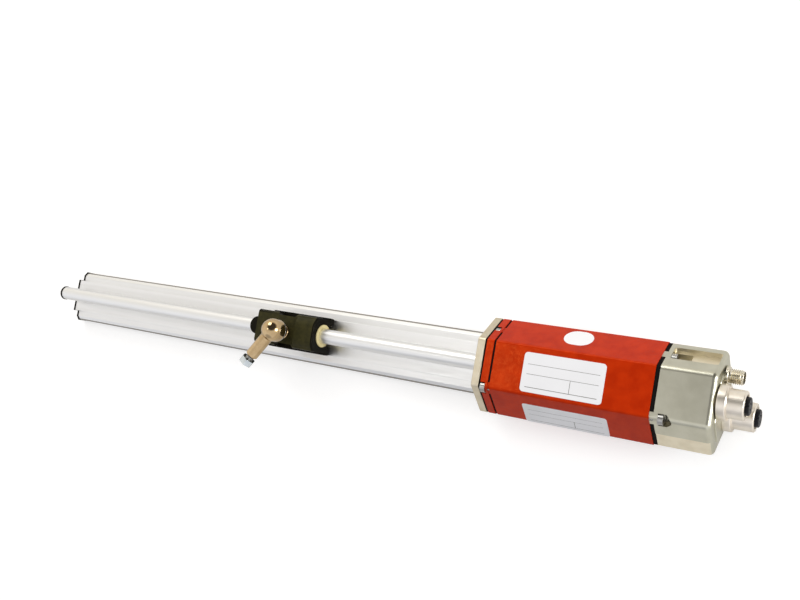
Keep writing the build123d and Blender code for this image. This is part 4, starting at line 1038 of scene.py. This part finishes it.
def dress_hidden_nodes() -> None:
    """Give the CAD nodes that stay inside their own finishes."""
    hidden = {
        "rail_screws": ZINC_STEEL,
        "plate_screws": ZINC_STEEL,
        "lock_rings": NICKEL,
        "element_tube": ZINC_STEEL,
        "magnetostrictive_wire": ZINC_STEEL,
        "return_wire": COPPER,
        "element_block": CREAM_PLASTIC,
        "pickup_coil": COPPER,
        "element_damper": RUBBER,
        "circuit_tray": BLACK_PLASTIC,
        "interface_board": BOARD,
        "signal_board": BOARD,
        "board_spacers": CREAM_PLASTIC,
        "board_screws": ZINC_STEEL,
        "ring_magnet": FERRITE,
        "bearing_cup": CREAM_PLASTIC,
        "pressure_cap": ZINC_STEEL,
    }
    for node, finish in hidden.items():
        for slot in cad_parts[node].material_slots:
            slot.material = finish.material()


@dataclass(frozen=True)
class Lamp:
    """A square soft light, with its side in metres."""

    name: str
    place: Point3
    target: Point3
    side: float
    watts: float

    def hang(self) -> None:
        """Create the light and aim it."""
        data = bpy.data.lights.new(self.name, "AREA")
        data.shape = "SQUARE"
        data.size = self.side
        data.energy = self.watts
        lamp = bpy.data.objects.new(self.name, data)
        bpy.context.scene.collection.objects.link(lamp)
        lamp.location = self.place
        aim = Vector(self.target) - Vector(self.place)
        lamp.rotation_euler = aim.to_track_quat("-Z", "Y").to_euler()


@dataclass
class Studio:
    """Pale floor, soft lights, world and camera.

    The surround is white where a camera sees it. Reflections see white walls under a dimmer
    ceiling with a dark spot, and a flag at one side. Dull surfaces get more light from one
    side than from the other. Edges of a spot are cosines of the angle to its centre.
    """

    camera_place: Point3 = (0.22768, -0.00534, 0.50911)
    camera_right: Point3 = (0.85175, 0.17150, -0.49509)
    camera_up: Point3 = (-0.11717, 0.98333, 0.13904)
    camera_back: Point3 = (0.51068, -0.06042, 0.85764)
    lens_mm: float = 42.65
    sensor_mm: float = 36.0
    near_clip: float = 0.01
    ceiling: Point3 = (-0.15, 0.2, 0.97)
    ceiling_edge: Point = (0.75, 0.99)
    ceiling_light: float = 0.82
    dark_spot: Point3 = (0.3, 0.56, 0.77)
    dark_edge: Point = (0.62, 0.82)
    dark_light: float = 0.06
    flag: Point3 = (-0.3, -0.92, 0.25)
    flag_edge: Point = (0.87, 0.97)
    flag_light: float = 0.5
    bright_side: Point3 = (-0.25, 0.8, 0.55)
    side_light: Point = (0.22, 1.0)
    floor_lift: float = 0.5
    mirrored_lift: float = 0.1
    floor_half: float = 3.0
    floor_paper: str = "#D2D2D2"
    warm_side: str = "#FFF9EF"
    cool_side: str = "#F8F9FF"
    lamps: tuple[Lamp, ...] = (
        Lamp("key_light", (-0.42, 0.95, 0.75), (0.0, 0.0, 0.0), side=0.55, watts=3.8),
        Lamp("end_light", (0.9, 0.1, 0.35), (0.1, 0.0, 0.0), side=0.4, watts=4.2),
        Lamp("window_light", (-0.48, 0.01, 1.13), (0.0, 0.0, 0.0), side=0.12, watts=0.3),
    )

    def build(self) -> None:
        """Set up the camera, the world, the floor and the lights."""
        self._camera()
        self._world()
        self._floor()
        for lamp in self.lamps:
            lamp.hang()

    def _camera(self) -> None:
        """Create the camera at the photograph's viewpoint."""
        data = bpy.data.cameras.new("camera")
        data.lens = self.lens_mm
        data.sensor_width = self.sensor_mm
        data.clip_start = self.near_clip
        camera = bpy.data.objects.new("camera", data)
        bpy.context.scene.collection.objects.link(camera)
        axes = Matrix((self.camera_right, self.camera_up, self.camera_back)).transposed()
        camera.matrix_world = Matrix.Translation(self.camera_place) @ axes.to_4x4()
        bpy.context.scene.camera = camera

    @staticmethod
    def _seen(tree: bpy.types.NodeTree, glossy: bool) -> bpy.types.NodeSocket:
        """Say whether a ray is a camera's or goes through glass.

        Args:
            tree: The node tree.
            glossy: Whether reflections count too.

        Returns:
            A socket that is 1 for such rays.
        """
        rays = add_node(tree, "ShaderNodeLightPath")
        names = ["Is Camera Ray", "Is Transmission Ray"] + ["Is Glossy Ray"] * glossy
        seen = rays.outputs[names[0]]
        for name in names[1:]:
            both = add_node(
                tree, "ShaderNodeMath", {0: seen, 1: rays.outputs[name]}, operation="MAXIMUM"
            )
            seen = both.outputs[0]
        return seen

    @staticmethod
    def _towards(
        tree: bpy.types.NodeTree, side: Point3, span: Point, levels: Point
    ) -> bpy.types.NodeSocket:
        """Strength that changes with the angle to a direction.

        Args:
            tree: The world's node tree.
            side: The direction.
            span: Cosines of the angle where the change begins and ends.
            levels: Strength at each of them.

        Returns:
            The socket that holds the strength.
        """
        place = add_node(tree, "ShaderNodeTexCoord")
        aim = Vector(side).normalized()
        angle = add_node(
            tree,
            "ShaderNodeVectorMath",
            {0: place.outputs["Generated"], 1: tuple(aim)},
            operation="DOT_PRODUCT",
        )
        level = add_node(
            tree,
            "ShaderNodeMapRange",
            {
                "Value": angle.outputs["Value"],
                "From Min": span[0],
                "From Max": span[1],
                "To Min": levels[0],
                "To Max": levels[1],
            },
            interpolation_type="SMOOTHSTEP",
        )
        return level.outputs[0]

    def _world(self) -> None:
        """Surround the scene with what the camera, reflections and dull surfaces each see."""
        # Cosines from straight away to straight towards
        whole_turn = (-1.0, 1.0)
        world = bpy.data.worlds.new("studio")
        world.use_nodes = True
        tree = world.node_tree
        tree.nodes.clear()
        rays = add_node(tree, "ShaderNodeLightPath")
        above = self._towards(tree, self.ceiling, self.ceiling_edge, (1.0, self.ceiling_light))
        spot = self._towards(tree, self.dark_spot, self.dark_edge, (1.0, self.dark_light))
        flag = self._towards(tree, self.flag, self.flag_edge, (1.0, self.flag_light))
        dimmed = add_node(tree, "ShaderNodeMath", {0: above, 1: spot}, operation="MULTIPLY")
        shown = add_node(
            tree, "ShaderNodeMath", {0: dimmed.outputs[0], 1: flag}, operation="MULTIPLY"
        )
        given = self._towards(tree, self.bright_side, whole_turn, self.side_light)
        mixed = add_node(
            tree, "ShaderNodeMix", {0: rays.outputs["Is Glossy Ray"], 2: given, 3: shown.outputs[0]}
        )
        strength = add_node(
            tree, "ShaderNodeMix", {0: self._seen(tree, False), 2: mixed.outputs[0], 3: 1.0}
        )
        turn = self._towards(tree, (0.0, 1.0, 0.0), whole_turn, (0.0, 1.0))
        walls = add_node(
            tree,
            "ShaderNodeMix",
            {0: turn, 6: linear(self.cool_side), 7: linear(self.warm_side)},
            data_type="RGBA",
        )
        colour = add_node(
            tree,
            "ShaderNodeMix",
            {0: self._seen(tree, False), 6: walls.outputs[2], 7: linear(WHITE)},
            data_type="RGBA",
        )
        light = add_node(
            tree,
            "ShaderNodeBackground",
            {"Color": colour.outputs[2], "Strength": strength.outputs[0]},
        )
        add_node(tree, "ShaderNodeOutputWorld", {"Surface": light.outputs[0]})
        bpy.context.scene.world = world

    def _floor(self) -> None:
        """Lay a white floor that keeps the object's shadow."""
        bm = bmesh.new()
        half = self.floor_half
        corners = ((-half, -half), (half, -half), (half, half), (-half, half))
        bm.faces.new([bm.verts.new((x, y, 0.0)) for x, y in corners])
        floor = new_piece("floor", bm)
        material = bpy.data.materials.new("floor_paper")
        material.use_nodes = True
        tree = material.node_tree
        tree.nodes.clear()
        paper = add_node(tree, "ShaderNodeBsdfDiffuse", {"Color": linear(self.floor_paper)})
        level = add_node(
            tree,
            "ShaderNodeMix",
            {0: self._seen(tree, False), 2: self.mirrored_lift, 3: self.floor_lift},
        )
        lift = add_node(
            tree,
            "ShaderNodeEmission",
            {"Color": linear(WHITE), "Strength": level.outputs[0]},
        )
        both = add_node(tree, "ShaderNodeAddShader", {0: paper.outputs[0], 1: lift.outputs[0]})
        mix = add_node(
            tree,
            "ShaderNodeMixShader",
            {0: self._seen(tree, True), 1: paper.outputs[0], 2: both.outputs[0]},
        )
        add_node(tree, "ShaderNodeOutputMaterial", {"Surface": mix.outputs[0]})
        floor.data.materials.append(material)


def main() -> None:
    """Build the sensor and its studio."""
    logging.basicConfig(level=logging.INFO, format="%(message)s")
    bpy.context.scene.view_settings.view_transform = "Standard"
    Studio().build()
    RailGroup().build()
    HeadGroup().build()
    ConnectorGroup().build()
    SliderGroup().build()
    dress_hidden_nodes()


if __name__ == "__main__":
    main()
